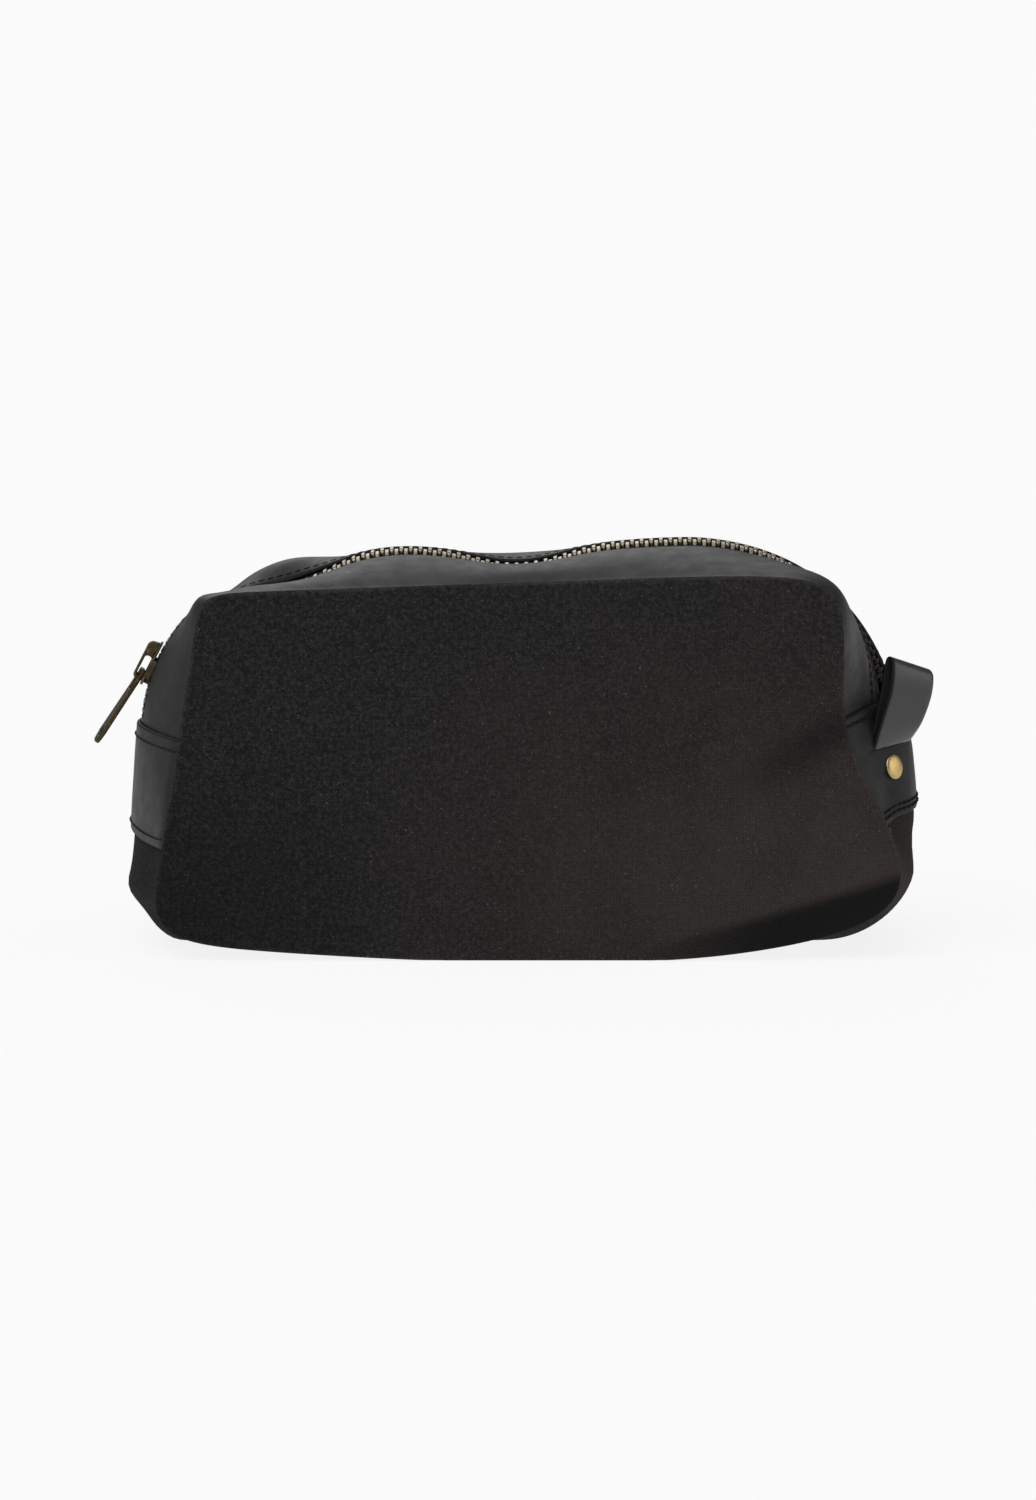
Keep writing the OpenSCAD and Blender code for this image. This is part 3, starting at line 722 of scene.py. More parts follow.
def make_panel(name, side, node):
    outer, uv, d = panel_grid(side, CANVAS_T * 0.6)
    inner, _, _ = panel_grid(side, -CANVAS_T * 0.4)
    panel = shell(name, outer, inner, uv, [CANVAS], sharp=60)
    # The front canvas carries painted shade; the rear has none.
    wax = wax_on_front(outer[..., 0], outer[..., 2]) if side < 0 else np.zeros_like(d)
    paint(panel, wear=[1 - smooth(d / (1.3 * MM))] * 2, wax=[wax] * 2)
    settle(panel, [node])


make_panel("canvas_front", -1, "front_panel")
make_panel("canvas_back", 1, "back_panel")

# ---- the gusset: canvas below, leather above
ACROSS = np.sign(spread(44)) * np.abs(spread(44)) ** 0.9


def gusset_rows(q0, q1, step):
    """Stations about one step apart along the middle line."""
    q = np.linspace(q0, q1, 200)
    p = skin(q, 0)
    run = lengths(p)
    return np.interp(np.linspace(0, run[-1], max(4, int(run[-1] / step)) + 1), run, q)


def gusset_uv(q, v):
    """UV in metres: distance across, and distance along the middle line."""
    middle = skin(q[:, 0], 0)
    run = lengths(middle)
    return np.stack([v * reach_at(q, v < 0), np.broadcast_to(run[:, None], q.shape)], -1)


# Soft folds across the base at the left heel: height in millimetres, station and spread.
HEEL_FOLDS = ((1.1, 7.88, 0.13), (-1.0, 7.58, 0.17), (0.5, 7.2, 0.12))
# The groove beside the front seam at both lower corners.
GROOVE_DEPTH, GROOVE_W = 1.3 * MM, 2.2 * MM


def skin_sheet(name, q, v, top, thickness, material, sharp=60):
    """A sheet that follows the gusset's surface, with its upper face at the height top."""
    outer, inner = place(q, v, top), place(q, v, top - thickness)
    return shell(name, outer, inner, gusset_uv(q, v), [material], sharp=sharp)


def make_base():
    rows = gusset_rows(RIGHT_TAB[1] - 0.15, 8 + LEFT_TAB[0] + 0.13, 2.2 * MM)
    q, v = np.meshgrid(rows, ACROSS, indexing="ij")
    x, y, z = np.moveaxis(skin(q, v), -1, 0)
    raised = ramp(z, 3 * MM, 25 * MM)
    lumps = 0.5 * MM * ripple(x + z, y, 34 * MM, 3) * raised
    heel = sum(h * MM * bell(q - at, wide) for h, at, wide in HEEL_FOLDS)
    d = seam_distance(q, v)
    corners = np.maximum(bell(q - 7.5, 0.28), bell(q - 5.5, 0.33)) * (v < 0)
    height = rolled_edge(d, SEAM_ROLL, 0.5 * MM * raised) + (lumps + heel) * smooth(1.6 * (1 - np.abs(v)))
    height = height - GROOVE_DEPTH * corners * (1 - smooth(d / GROOVE_W))
    outer, inner = place(q, v, height), place(q, v, height - CANVAS_T)
    outer[..., 2] = np.maximum(outer[..., 2], 0.05 * MM)
    base = shell("canvas_base", outer, inner, gusset_uv(q, v), [CANVAS], sharp=60)
    # Painted shade: the groove at the lower front corners is painted near black as its shadow, and the
    # lowest part of the base is darkened as painted shadow near the floor; elsewhere the base is a little
    # darker all over.
    wax = 0.2 + 0.8 * corners * (1 - smooth((d - 2.4 * MM) / (1.5 * MM)))
    wax = np.maximum(wax, 0.85 * ramp(outer[..., 2], 17 * MM, 6 * MM))
    paint(base, wear=[0.4 * (1 - smooth(d / (1.6 * MM))) * (1 - corners)] * 2, wax=[wax] * 2)
    settle(base, ["bottom_gusset"])


make_base()

LEATHER_ROLL = 0.4 * MM
TAB_TOP = 1.3 * MM


def tab_height(q, v, top):
    """A tab lies on the gusset, and both go down into the seam together."""
    d = seam_distance(q, v)
    return top + rolled_edge(d, LEATHER_ROLL, 0.0) - 0.5 * MM * (1 - smooth(d / (4 * MM)))


# How each tab's bottom edge slants: stations it moves by at the front, and further back, and the shares
# of the way across between which it goes from one to the other.
SLANTS = {"left": (-0.035, 0.06, -1.0, 0.0), "right": (0.18, -0.08, -0.32, 0.3)}


def tab_station(which, share, v):
    """Station at a share of the way along a tab, from its first edge."""
    q0, q1 = TABS[which]
    front, back, start, end = SLANTS[which]
    slant = mix(front, back, ramp(v, start, end))
    low = 1 - share if which == "left" else share
    return q0 + share * (q1 - q0) + slant * low


def make_tab(name, node, which):
    """A leather tab right across the gusset, with cut and painted edges along its two ends."""
    q0, q1 = TABS[which]
    rows = np.unique(np.concatenate([gusset_rows(q0, q1, 2.0 * MM), [q0 + 0.004, q1 - 0.004]]))
    share = (rows - q0) / (q1 - q0)
    t, heights, beyond, slots = slab_ring(share, True)
    v, ring_share = np.meshgrid(ACROSS, t, indexing="ij")
    q = tab_station(which, ring_share, v)
    h = np.broadcast_to(heights, q.shape)
    p, along, _, normal = skin_frame(q, v)
    rise = tab_height(q, v, TAB_TOP) + 0.15 * MM * ripple(q * 60 * MM, p[..., 1], 22 * MM, q0)
    points = p + normal * (rise + h)[..., None] + along * np.broadcast_to(beyond, q.shape)[..., None]
    run = np.interp(q, rows, lengths(skin(rows, 0)))
    uv = np.stack([v * reach_at(q, v < 0), run], -1)
    settle(loft(name, points, uv, [LEATHER, EDGE], slots, sharp=55), [node])


make_tab("tab_left", "left_end_tab", "left")
make_tab("tab_right", "right_end_tab", "right")


def strip_height(q, v, side):
    """The leather beside the zip: proud at the seam, and dipped where it lies below the teeth."""
    d = seam_distance(q, v)
    x, y, z = np.moveaxis(skin(q, v), -1, 0)
    top = ramp(z, 60 * MM, 105 * MM)
    rise = rolled_edge(d, LEATHER_ROLL, 0.2 * MM * top)
    dip = 0
    if side < 0:
        inwards = 1 - smooth((np.abs(v) * reach(side, q) - ZIP_GAP) / (9 * MM))
        dip = (1.0 * MM * ramp(x, -100 * MM, -85 * MM) + 1.6 * MM * bell(x + 56 * MM, 13 * MM)) * inwards
    puff = 0.25 * MM * ripple(x, y, 30 * MM, 4 + side)
    return rise - dip * top + puff * smooth(d / (8 * MM)) * smooth(np.abs(v) / 0.3)


def half_stations(half, step):
    """Stations of one half of the zip's run, meeting the other half over the middle of the bag."""
    q = np.linspace(2, 3, 400)
    middle = float(np.interp(0, skin(q, 0)[:, 0], q))
    if half == "left":
        return gusset_rows(LEFT_TAB[1] - 0.02, middle, step)
    return gusset_rows(middle, RIGHT_TAB[0] + 0.02, step)


# Each half gets a blend, its lip's body in the middle of the zip and the bag at its ends; settle takes a
# blend only as a sign to bake the piece's transform.
LIP_REACH = 0.115
HALVES = {"left": -LIP_REACH, "right": LIP_REACH}


def lip_blend(side_name, half):
    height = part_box("front_strip_middle")[1].z
    return (BAG, side_name + "_lip", (HALVES[half], 0, height), (0, 0, height))


def zip_nodes(side_name, kind, half):
    """The CAD nodes that one half stands for: the left half also stands for the middle."""
    nodes = [f"{side_name}_{kind}_{half}"]
    if half == "left":
        nodes.append(f"{side_name}_{kind}_middle")
    return nodes


def make_strip(side_name, half):
    side = SIDES[side_name]
    rows = half_stations(half, 1.6 * MM)
    t_outer = 1 - (1 - np.linspace(0, 1, 30)) ** 1.3
    t_outer = t_outer * 0.5 + 0.5 * np.linspace(0, 1, 30) ** 1.5
    t, heights, beyond, slots = slab_ring(t_outer, False)
    q, share = np.meshgrid(rows, t, indexing="ij")
    v = mix(side, v_at(q, side * ZIP_GAP), share)
    p, _, across, normal = skin_frame(q, v)
    rise = strip_height(q, v, side) + np.broadcast_to(heights, q.shape)
    points = p + normal * rise[..., None] - side * across * np.broadcast_to(beyond, q.shape)[..., None]
    slots = slots[:len(t_outer) + 3] + [2] * (len(slots) - len(t_outer) - 3)
    looks = [LEATHER, EDGE, BACKING]
    strip = loft(f"strip_{side_name}_{half}", points, gusset_uv(q, v), looks, slots, sharp=55)
    settle(strip, zip_nodes(side_name, "strip", half), blend=lip_blend(side_name, half))


TAPE_TOP = -LEATHER_T - 0.1 * MM
TAPE_T = 0.6 * MM


def make_tape(side_name, half):
    """Zip tape, from the teeth's cord to under the leather."""
    side = SIDES[side_name]
    rows = half_stations(half, 2.0 * MM)
    distance = np.array([2.2, 2.6, 3.1, 4.2, 6.5, 9, 11.5, 14]) * MM
    lift = np.array([0.15, 0.3, 0.05, 0.0, 0.0, 0.0, 0.0, 0.0]) * MM
    q, e = np.meshgrid(rows, distance, indexing="ij")
    v = v_at(q, side * e)
    rise = TAPE_TOP + np.broadcast_to(lift, q.shape)
    dip = strip_height(q, v, side) * smooth((e - 5 * MM) / (3 * MM))
    tape = skin_sheet(f"tape_{side_name}_{half}", q, v, rise + dip, TAPE_T, TAPE)
    settle(tape, zip_nodes(side_name, "tape", half), blend=lip_blend(side_name, half))


# ---- the zip's metal
STOP_L = 2.6 * MM
TOP_RUN = float(np.linalg.norm(belt(np.array(3.0)) - belt(np.array(2.0))))
# Length along the belt at stations 1 to 4, from where the left shoulder begins.
MARKS = np.cumsum([0, DISCS[1][2] * TURNS[0], TOP_RUN, DISCS[2][2] * TURNS[1]])


def length_at(q):
    return np.interp(q, [1, 2, 3, 4], MARKS)


def station(length):
    return np.interp(length, MARKS, [1, 2, 3, 4])


CHAIN_START = length_at(LEFT_TAB[1]) + STOP_L + 0.8 * MM
CHAIN_END = length_at(RIGHT_TAB[0]) - STOP_L - 1.7 * MM
# A tooth's sections from its legs, which grip the tape, to its head: distance out, half width, top, bottom.
TOOTH_SECTIONS = np.array([
    [4.25, 0.45, -0.95, -2.30], [4.05, 0.60, -0.50, -2.75], [3.2, 0.62, -0.22, -3.0],
    [1.7, 0.62, -0.08, -3.1], [0.9, 0.64, -0.06, -3.1], [0.1, 0.64, -0.12, -3.0],
    [-0.45, 0.56, -0.35, -2.8], [-0.7, 0.40, -0.75, -2.4],
]) * MM
CHAMFER = 0.16 * MM
# How far the chain stands up out of the leather's surface on the top, and lower down at the right end.
CHAIN_RISE, CHAIN_END_RISE = 0.15 * MM, -0.7 * MM


def block_section(half, top, bottom):
    """Eight points of a block's section with chamfered corners: along, up."""
    c = min(CHAMFER, half * 0.4)
    return [(half - c, top), (half, top - c), (half, bottom + c), (half - c, bottom),
            (-half + c, bottom), (-half, bottom + c), (-half, top - c), (-half + c, top)]


def add_loft(points, faces, wear, sections, origin, axes):
    """Adds one small closed block, section by section, in the frame (along, out, up)."""
    base = len(points)
    along, out, up = axes
    count = len(sections[0][1])
    for distance, ring in sections:
        for k, (a, b) in enumerate(ring):
            points.append(origin + along * a + out * distance + up * b)
            wear.append(1.0 if k in (0, count - 1) else 0.5 if k in (1, count - 2) else 0.0)
    faces += tube_faces(len(sections), count, base)


def metal_piece(name, points, faces, wear, material, sharp=35):
    points = np.array(points)
    obj = mesh_object(name, points, faces, points[:, :2], [material], sharp=sharp)
    paint(obj, wear=wear)
    return obj


def make_teeth(side_name, half):
    side = SIDES[side_name]
    shift = 0.25 if side < 0 else 0.75
    count = int((CHAIN_END - CHAIN_START) / TOOTH_PITCH)
    stations = station(CHAIN_START + (np.arange(count) + shift) * TOOTH_PITCH)
    p, along, across, normal = skin_frame(stations, 0.0)
    points, faces, wear = [], [], []
    sections = [(s[0], block_section(*s[1:])) for s in TOOTH_SECTIONS]
    for i in range(count):
        if (p[i][0] < 0) == (half == "left"):
            rise = mix(CHAIN_RISE, CHAIN_END_RISE, ramp(p[i][0], 78 * MM, 92 * MM))
            origin = p[i] + normal[i] * rise
            add_loft(points, faces, wear, sections, origin, (along[i], side * across[i], normal[i]))
    teeth = metal_piece(f"teeth_{side_name}_{half}", points, faces, wear, TEETH)
    settle(teeth, zip_nodes(side_name, "teeth", half), blend=lip_blend(side_name, half))


def make_stops():
    """Two top stops beside the left tab, and one bottom stop across both rows beside the right tab."""
    top = station(length_at(LEFT_TAB[1]) + STOP_L / 2 + 0.3 * MM)
    bottom = station(length_at(RIGHT_TAB[0]) - STOP_L / 2 - 1 * MM)
    for name, node, q, spans in (
        ("zip_stops_top", "zip_top_stops", top, ((-3.7, -0.3), (0.3, 3.7))),
        ("zip_stop_bottom", "zip_bottom_stop", bottom, ((-3.9, 3.9),)),
    ):
        p, along, across, normal = skin_frame(np.array([q]), 0.0)
        points, faces, wear = [], [], []
        for low, high in spans:
            sections = []
            for share, narrow in ((0, 0.75), (0.08, 0.95), (0.5, 1), (0.92, 0.95), (1, 0.75)):
                inwards = 0.9 * (1 - narrow)
                ring = block_section(STOP_L / 2 * narrow, (-0.1 - inwards) * MM, (-3 + inwards) * MM)
                sections.append((mix(low, high, share) * MM, ring))
            add_loft(points, faces, wear, sections, p[0], (along[0], across[0], normal[0]))
        settle(metal_piece(name, points, faces, wear, TEETH), [node])


# ---- topstitching
STITCH = 3.0 * MM


def stitch_row(points, normals, radius):
    """Stitches along a line of points: short runs of thread that dip into the leather at both ends."""
    run = lengths(points)
    count = max(1, int(round(run[-1] / STITCH)))
    marks = np.linspace(0, run[-1], count + 1)
    at = np.stack([np.interp(marks, run, points[:, k]) for k in range(3)], -1)
    up = unit(np.stack([np.interp(marks, run, normals[:, k]) for k in range(3)], -1))
    # Share of the way along, size and height, the last two in radii.
    sections = ((0.08, 0.45, -0.5), (0.2, 0.85, 0.1), (0.5, 1, 0.35), (0.8, 0.85, 0.1), (0.92, 0.45, -0.5))
    verts, faces, uv = [], [], []
    for a, b, n in zip(at[:-1], at[1:], up[:-1]):
        along = unit(b - a)
        out = np.cross(n, along)
        base = len(verts)
        for share, size, lift in sections:
            for k in range(6):
                angle = math.pi * k / 3
                offset = out * math.cos(angle) + n * math.sin(angle)
                verts.append(mix(a, b, share) + n * lift * radius + offset * size * radius)
                uv.append((share * STITCH, k * radius))
        faces += tube_faces(len(sections), 6, base)
    return verts, faces, uv


def stitched(name, rows, radius):
    """One piece made of several rows of stitches, each row a line of points and its normals."""
    verts, faces, uv = [], [], []
    for points, normals in rows:
        v, f, t = stitch_row(points, normals, radius)
        faces += [tuple(len(verts) + i for i in face) for face in f]
        verts += v
        uv += t
    return mesh_object(name, np.array(verts), faces, np.array(uv), [THREAD], sharp=80)


def make_tab_stitches(name, which, insets, radius):
    """Rows across a tab: distances in from its first edge, or from its second where they are negative."""
    rows = []
    v = np.linspace(-0.97, 0.97, 120)
    q0, q1 = TABS[which]
    tab_length = float(np.linalg.norm(skin(q1, 0.0) - skin(q0, 0.0)))
    for inset in insets:
        q = tab_station(which, inset / tab_length % 1, v)
        p, _, _, normal = skin_frame(q, v)
        rise = tab_height(q, v, TAB_TOP) + 0.05 * MM
        rows.append((p + normal * rise[:, None], normal))
    settle(stitched(name, rows, radius))


def make_zip_stitches(side_name, half):
    """A row beside the zip, which holds the tape to the leather."""
    side = SIDES[side_name]
    q = half_stations(half, 1.0 * MM)
    q = q[3:] if half == "left" else q[:-3]
    v = v_at(q, side * (ZIP_GAP + 2.4 * MM))
    p, _, _, normal = skin_frame(q, v)
    points = p + normal * (strip_height(q, v, side) - 0.03 * MM)[:, None]
    radius = 0.27 * MM if side < 0 else 0.2 * MM
    piece = stitched(f"stitches_{side_name}_{half}", [(points, normal)], radius)
    settle(piece, blend=lip_blend(side_name, half))


make_tab_stitches("stitches_tab_left", "left", (2.4 * MM, -3.2 * MM), 0.36 * MM)
make_tab_stitches("stitches_tab_right_top", "right", (0.9 * MM,), 0.6 * MM)
make_tab_stitches("stitches_tab_right_low", "right", (-5.2 * MM, -2.2 * MM), 0.4 * MM)
for side_name in SIDES:
    for half in HALVES:
        make_strip(side_name, half)
        make_tape(side_name, half)
        make_teeth(side_name, half)
        make_zip_stitches(side_name, half)
make_stops()


# ---- plates cut from flat metal
def plate(name, outline, holes, thickness, round_over, matrix, material):
    """A flat plate with holes and rounded-over edges, lying in its own XY plane."""
    curve = bpy.data.curves.new(name, "CURVE")
    curve.dimensions, curve.fill_mode = "2D", "BOTH"
    curve.extrude = thickness / 2 - round_over
    curve.bevel_depth, curve.bevel_resolution, curve.offset = round_over, 2, -round_over
    for loop in [outline, *holes]:
        spline = curve.splines.new("POLY")
        spline.points.add(len(loop) - 1)
        spline.points.foreach_set("co", [c for x, y in loop for c in (x, y, 0, 1)])
        spline.use_cyclic_u = True
    source = bpy.data.objects.new(name + "_curve", curve)
    bpy.context.scene.collection.objects.link(source)
    depsgraph = bpy.context.evaluated_depsgraph_get()
    mesh = bpy.data.meshes.new_from_object(source.evaluated_get(depsgraph))
    bpy.data.objects.remove(source)
    mesh.name = name
    mesh.transform(matrix)
    mesh.materials.clear()
    mesh.materials.append(material)
    weld(mesh)
    obj = finished(mesh, 35)
    paint(obj, wear=[PLATE_WEAR] * len(mesh.vertices))
    return obj


def weld(mesh):
    bm = bmesh.new()
    bm.from_mesh(mesh)
    bmesh.ops.remove_doubles(bm, verts=bm.verts, dist=0.002 * MM)
    bmesh.ops.recalc_face_normals(bm, faces=bm.faces)
    bm.to_mesh(mesh)
    bm.free()


CORNER_STEPS = 6


def rounded_loop(points, radii):
    """A closed outline with each corner rounded; points in millimetres, result in metres."""
    out = []
    n = len(points)
    for i in range(n):
        here = np.array(points[i], float)
        before, after = unit(np.array(points[i - 1]) - here), unit(np.array(points[(i + 1) % n]) - here)
        radius = radii[i] if isinstance(radii, (list, tuple)) else radii
        half = math.acos(float(np.clip(before @ after, -1, 1))) / 2
        reach_in = radius / math.tan(half)
        centre = here + unit(before + after) * radius / math.sin(half)
        start, end = here + before * reach_in - centre, here + after * reach_in - centre
        a0 = math.atan2(start[1], start[0])
        turn = (math.atan2(end[1], end[0]) - a0 + math.pi) % (2 * math.pi) - math.pi
        for k in range(CORNER_STEPS + 1):
            a = a0 + turn * k / CORNER_STEPS
            out.append(tuple((centre + radius * np.array([math.cos(a), math.sin(a)])) * MM))
    return out


def circle_loop(x, y, radius, count=28):
    return [((x + radius * math.cos(2 * math.pi * k / count)) * MM,
             (y + radius * math.sin(2 * math.pi * k / count)) * MM) for k in range(count)]


def frame_matrix(origin, x_axis, y_axis, z_axis):
    m = Matrix.Identity(4)
    for column, axis in enumerate((x_axis, y_axis, z_axis, origin)):
        for row in range(3):
            m[row][column] = float(axis[row])
    return m


def shifted(matrix, x=0.0, y=0.0, z=0.0):
    return matrix @ Matrix.Translation((x * MM, y * MM, z * MM))


def join(name, parts):
    """Joins plates into one piece."""
    bpy.context.view_layer.update()
    whole = parts[0]
    with bpy.context.temp_override(active_object=whole, selected_editable_objects=parts, object=whole):
        bpy.ops.object.join()
    whole.name = name
    whole.data.name = name
    return whole


# ---- slider, bail and pull
SLIDER_N = math.pi - SLIDER_ANGLE
slider_q = 1 + (NORMALS[0] - SLIDER_N) / TURNS[0]
slider_xz = belt(np.array(slider_q))
SLIDER_FRAME = frame_matrix((slider_xz[0], 0, slider_xz[1]),
                            (math.sin(SLIDER_N), 0, -math.cos(SLIDER_N)), (0, 1, 0),
                            (math.cos(SLIDER_N), 0, math.sin(SLIDER_N)))
# The weight of the pull tips the slider a little off the chain, and lets the pull hang nearer to the bag.
SLIDER_FRAME = SLIDER_FRAME @ Matrix.Rotation(math.radians(5), 4, "Y")
PULL_NEARER = math.radians(11)
PLATE_T = 0.9
PLATE_WEAR = 0.25
PLATE_TOP, PLATE_LOW = 0.6, -4.2
SLIDER_OUTLINE = [(-7.3, -2.4), (-7.3, 2.4), (-6.0, 5.4), (-4.4, 5.8), (1, 5.8), (6.5, 5.0), (7.4, 3.6),
                  (7.4, -3.6), (6.5, -5.0), (1, -5.8), (-4.4, -5.8), (-6.0, -5.4)]


def make_slider():
    outline = rounded_loop(SLIDER_OUTLINE, 0.9)
    flat_turn = Matrix.Rotation(math.pi / 2, 4, "X")
    parts = []
    for k, z in enumerate((PLATE_TOP + PLATE_T / 2, PLATE_LOW - PLATE_T / 2)):
        parts.append(plate(f"slider_plate_{k}", outline, [], PLATE_T * MM, 0.22 * MM,
                           shifted(SLIDER_FRAME, z=z), SLIDER))
    for side in (-1, 1):
        flange = rounded_loop([(-4.6, -0.45), (1.2, -0.45), (2.4, 0.45), (-4.6, 0.45)], 0.3)
        for z, t in ((PLATE_TOP - 0.6, 1.6), (PLATE_LOW + 0.5, 1.4)):
            parts.append(plate("slider_flange", flange, [], t * MM, 0.15 * MM,
                               shifted(SLIDER_FRAME, y=side * 5.3, z=z), SLIDER))
    post = rounded_loop([(-6.6, -0.3), (-2.8, -0.3), (-2.8, 0.3), (-6.6, 0.3)], 0.25)
    tall = PLATE_TOP - PLATE_LOW + 0.4
    parts.append(plate("slider_post", post, [], tall * MM, 0.1 * MM,
                       shifted(SLIDER_FRAME, z=(PLATE_TOP + PLATE_LOW) / 2), SLIDER))
    settle(join("slider", parts), ["slider_body"], body="slider")
    base = PLATE_TOP + PLATE_T - 0.1
    # The bail is a low arch standing on the plate, with a rounded window that the pull hangs in.
    arch = rounded_loop([(-6.4, base), (-6.4, 4.8), (6.4, 4.9), (7.0, base)], [0.15, 1.6, 1.9, 0.3])
    window = rounded_loop([(-5.2, base + 0.2), (-5.2, 3.9), (1.8, 3.9), (1.8, base + 0.2)], 0.9)
    bail = plate("slider_bail_arch", arch, [window], 3.4 * MM, 0.35 * MM, SLIDER_FRAME @ flat_turn, SLIDER)
    settle(bail, ["slider_bail"], body="slider")


def make_pull():
    """A long flat pull with a slot that goes round the bail and a hole near its tip."""
    pivot = shifted(SLIDER_FRAME, x=-3.6, z=2.5) @ Matrix.Rotation(PULL_ANGLE - PULL_NEARER, 4, "Y")
    pivot = pivot @ Matrix.Rotation(PULL_TWIST, 4, "X")
    tip = -(PULL_L / MM) + 4
    outline = rounded_loop([(0.9, -3.2), (0.9, 3.2), (-8, 3.2), (tip, 4.0), (tip - 4, 2.6), (tip - 4, -2.6),
                            (tip, -4.0), (-8, -3.2)], [0.9, 0.9, 3, 2.2, 2.2, 2.2, 2.2, 3])
    eye = rounded_loop([(-0.9, -2.2), (-0.9, 2.2), (-6.8, 2.2), (-6.8, -2.2)], 0.9)
    holes = [eye, circle_loop(tip, 0, 1.8)]
    pull = plate("zip_pull_tab", outline, holes, 1.3 * MM, 0.28 * MM, pivot, SLIDER)
    settle(pull, ["zip_pull"], body="pull")


make_slider()
make_pull()

# ---- handle loop, tail and rivet
# Middle line of the loop, up and then out from the tab, in millimetres. Its near edge is pressed flat;
# its far edge stands open and lower. The whole loop leans back as it rises.
LOOP_NEAR = np.array([[0, -0.7], [9, 0.5], [18, 1.6], [26, 2.1], [27.8, 3.1], [25.8, 4.6],
                      [18, 4.8], [9, 2.7], [0, 0.7]]) * MM
LOOP_FAR = np.array([[0, -0.7], [6.5, 0.1], [13, 1.2], [18.6, 3.2], [20.6, 5.0], [18.8, 6.8],
                     [12.8, 6.7], [5.2, 4.3], [0, 0.9]]) * MM
LOOP_SKEW = 8 / 28
LOOP_AHEAD = 3.4 * MM
LOOP_RISE = 0.07
STRAP_T = 1.3 * MM
TAIL_TOP, TAIL_T = -2.3 * MM, 1.5 * MM


def curve_through(points, per_span):
    """A smooth line through the points, per_span steps between each two."""
    out = []
    n = len(points) - 1
    for i in range(n):
        a, b, c, d = points[max(0, i - 1)], points[i], points[i + 1], points[min(n, i + 2)]
        for t in np.arange(per_span) / per_span:
            out.append(0.5 * (2 * b + (c - a) * t + (2 * a - 5 * b + 4 * c - d) * t ** 2
                              + (3 * b - a - 3 * c + d) * t ** 3))
    return np.array(out + [points[-1]])


def strap_section(width, thickness):
    """Points round a strap's section with rounded edges, (across, out), and which are its painted edge."""
    half_w, half_t = width / 2 - thickness / 2, thickness / 2
    side = np.linspace(-half_w, half_w, 15)
    bend = [math.pi * k / 4 for k in (1, 2, 3)]
    half_ring = [(s, half_t) for s in side]
    half_ring += [(half_w + half_t * math.sin(a), half_t * math.cos(a)) for a in bend]
    ring = half_ring + [(-a, -b) for a, b in half_ring]
    return ring, [0] * 14 + [1] * 4 + [0] * 14 + [1] * 4


def across_at(q):
    """Direction across the gusset at its middle line."""
    return unit(skin(q, 0.02) - skin(q, -0.02))


def slit_frame():
    """Middle of the slit, and the loop's directions: across the strap, up, and out from the tab."""
    p = skin(SLIT_Q, 0.0)
    across = unit(across_at(SLIT_Q) + np.array([0, 0, LOOP_RISE]))
    up = np.array([0, 0, 1.0])
    up = unit(up - across * (up @ across))
    origin = p + unit(np.array([p[0], 0, p[2] - CENTRE[1]])) * 1.5 * MM - across * LOOP_AHEAD
    return origin, across, up, np.cross(across, up)


def make_loop():
    origin, across, up, outwards = slit_frame()
    near, far = (curve_through(line, 8) for line in (LOOP_NEAR, LOOP_FAR))
    into = np.array([1.5, 3]) * MM
    near, far = (np.concatenate([line[:1] - into, line, line[-1:] - into]) for line in (near, far))
    section, slots = strap_section(STRAP_W, STRAP_T)
    rings, uv = [], []
    for a, b in section:
        line = mix(near, far, a / STRAP_W + 0.5)
        lean = np.maximum(line[:, :1], 0) * LOOP_SKEW
        middle = origin + across * (a + lean) + line[:, :1] * up + line[:, 1:] * outwards
        run = unit(np.gradient(middle, axis=0))
        rings.append(middle + unit(np.cross(run, across)) * b)
        uv.append(np.stack([np.full(len(line), a), lengths(middle)], -1))
    loop = loft("handle_strap", np.stack(rings, 1), np.stack(uv, 1), [LIT_STRAP_LEATHER, EDGE], slots, sharp=50)
    settle(loop, ["handle_loop"], body="loop")


def make_tail():
    """The strap's end, inside the tab, where the rivet goes through it."""
    rows = gusset_rows(SLIT_Q, TAIL_END_Q, 1.5 * MM)
    distance = np.linspace(-STRAP_W / 2, STRAP_W / 2, 13)
    q, e = np.meshgrid(rows, distance, indexing="ij")
    tail = skin_sheet("strap_tail", q, v_at(q, e), np.full_like(q, TAIL_TOP), TAIL_T, BACKING, 50)
    settle(tail, ["handle_tail"])


def make_slit():
    """The slit's pressed lip, just proud of the tab."""
    half = STRAP_W / 2 + 0.9 * MM
    e = np.linspace(-half, half, 25)
    q = SLIT_Q - 0.9 * e
    v = v_at(q, e - LOOP_AHEAD)
    p, along, _, normal = skin_frame(q, v)
    rise = tab_height(q, v, TAB_TOP)
    shape = np.sqrt(np.clip(1 - (e / half) ** 2, 0.02, 1))
    turns = np.linspace(0, 2 * math.pi, 12, endpoint=False)
    rings = np.stack([p + along * (1.5 * MM + 1.2 * MM * shape * math.cos(a))[:, None]
                      + normal * (rise + 0.35 * MM * shape * math.sin(a))[:, None] for a in turns], 1)
    settle(loft("handle_slit", rings, rings[..., :2], [EDGE], sharp=70))


LATHE_SEGMENTS = 56
RIVET_WEAR = 0.7


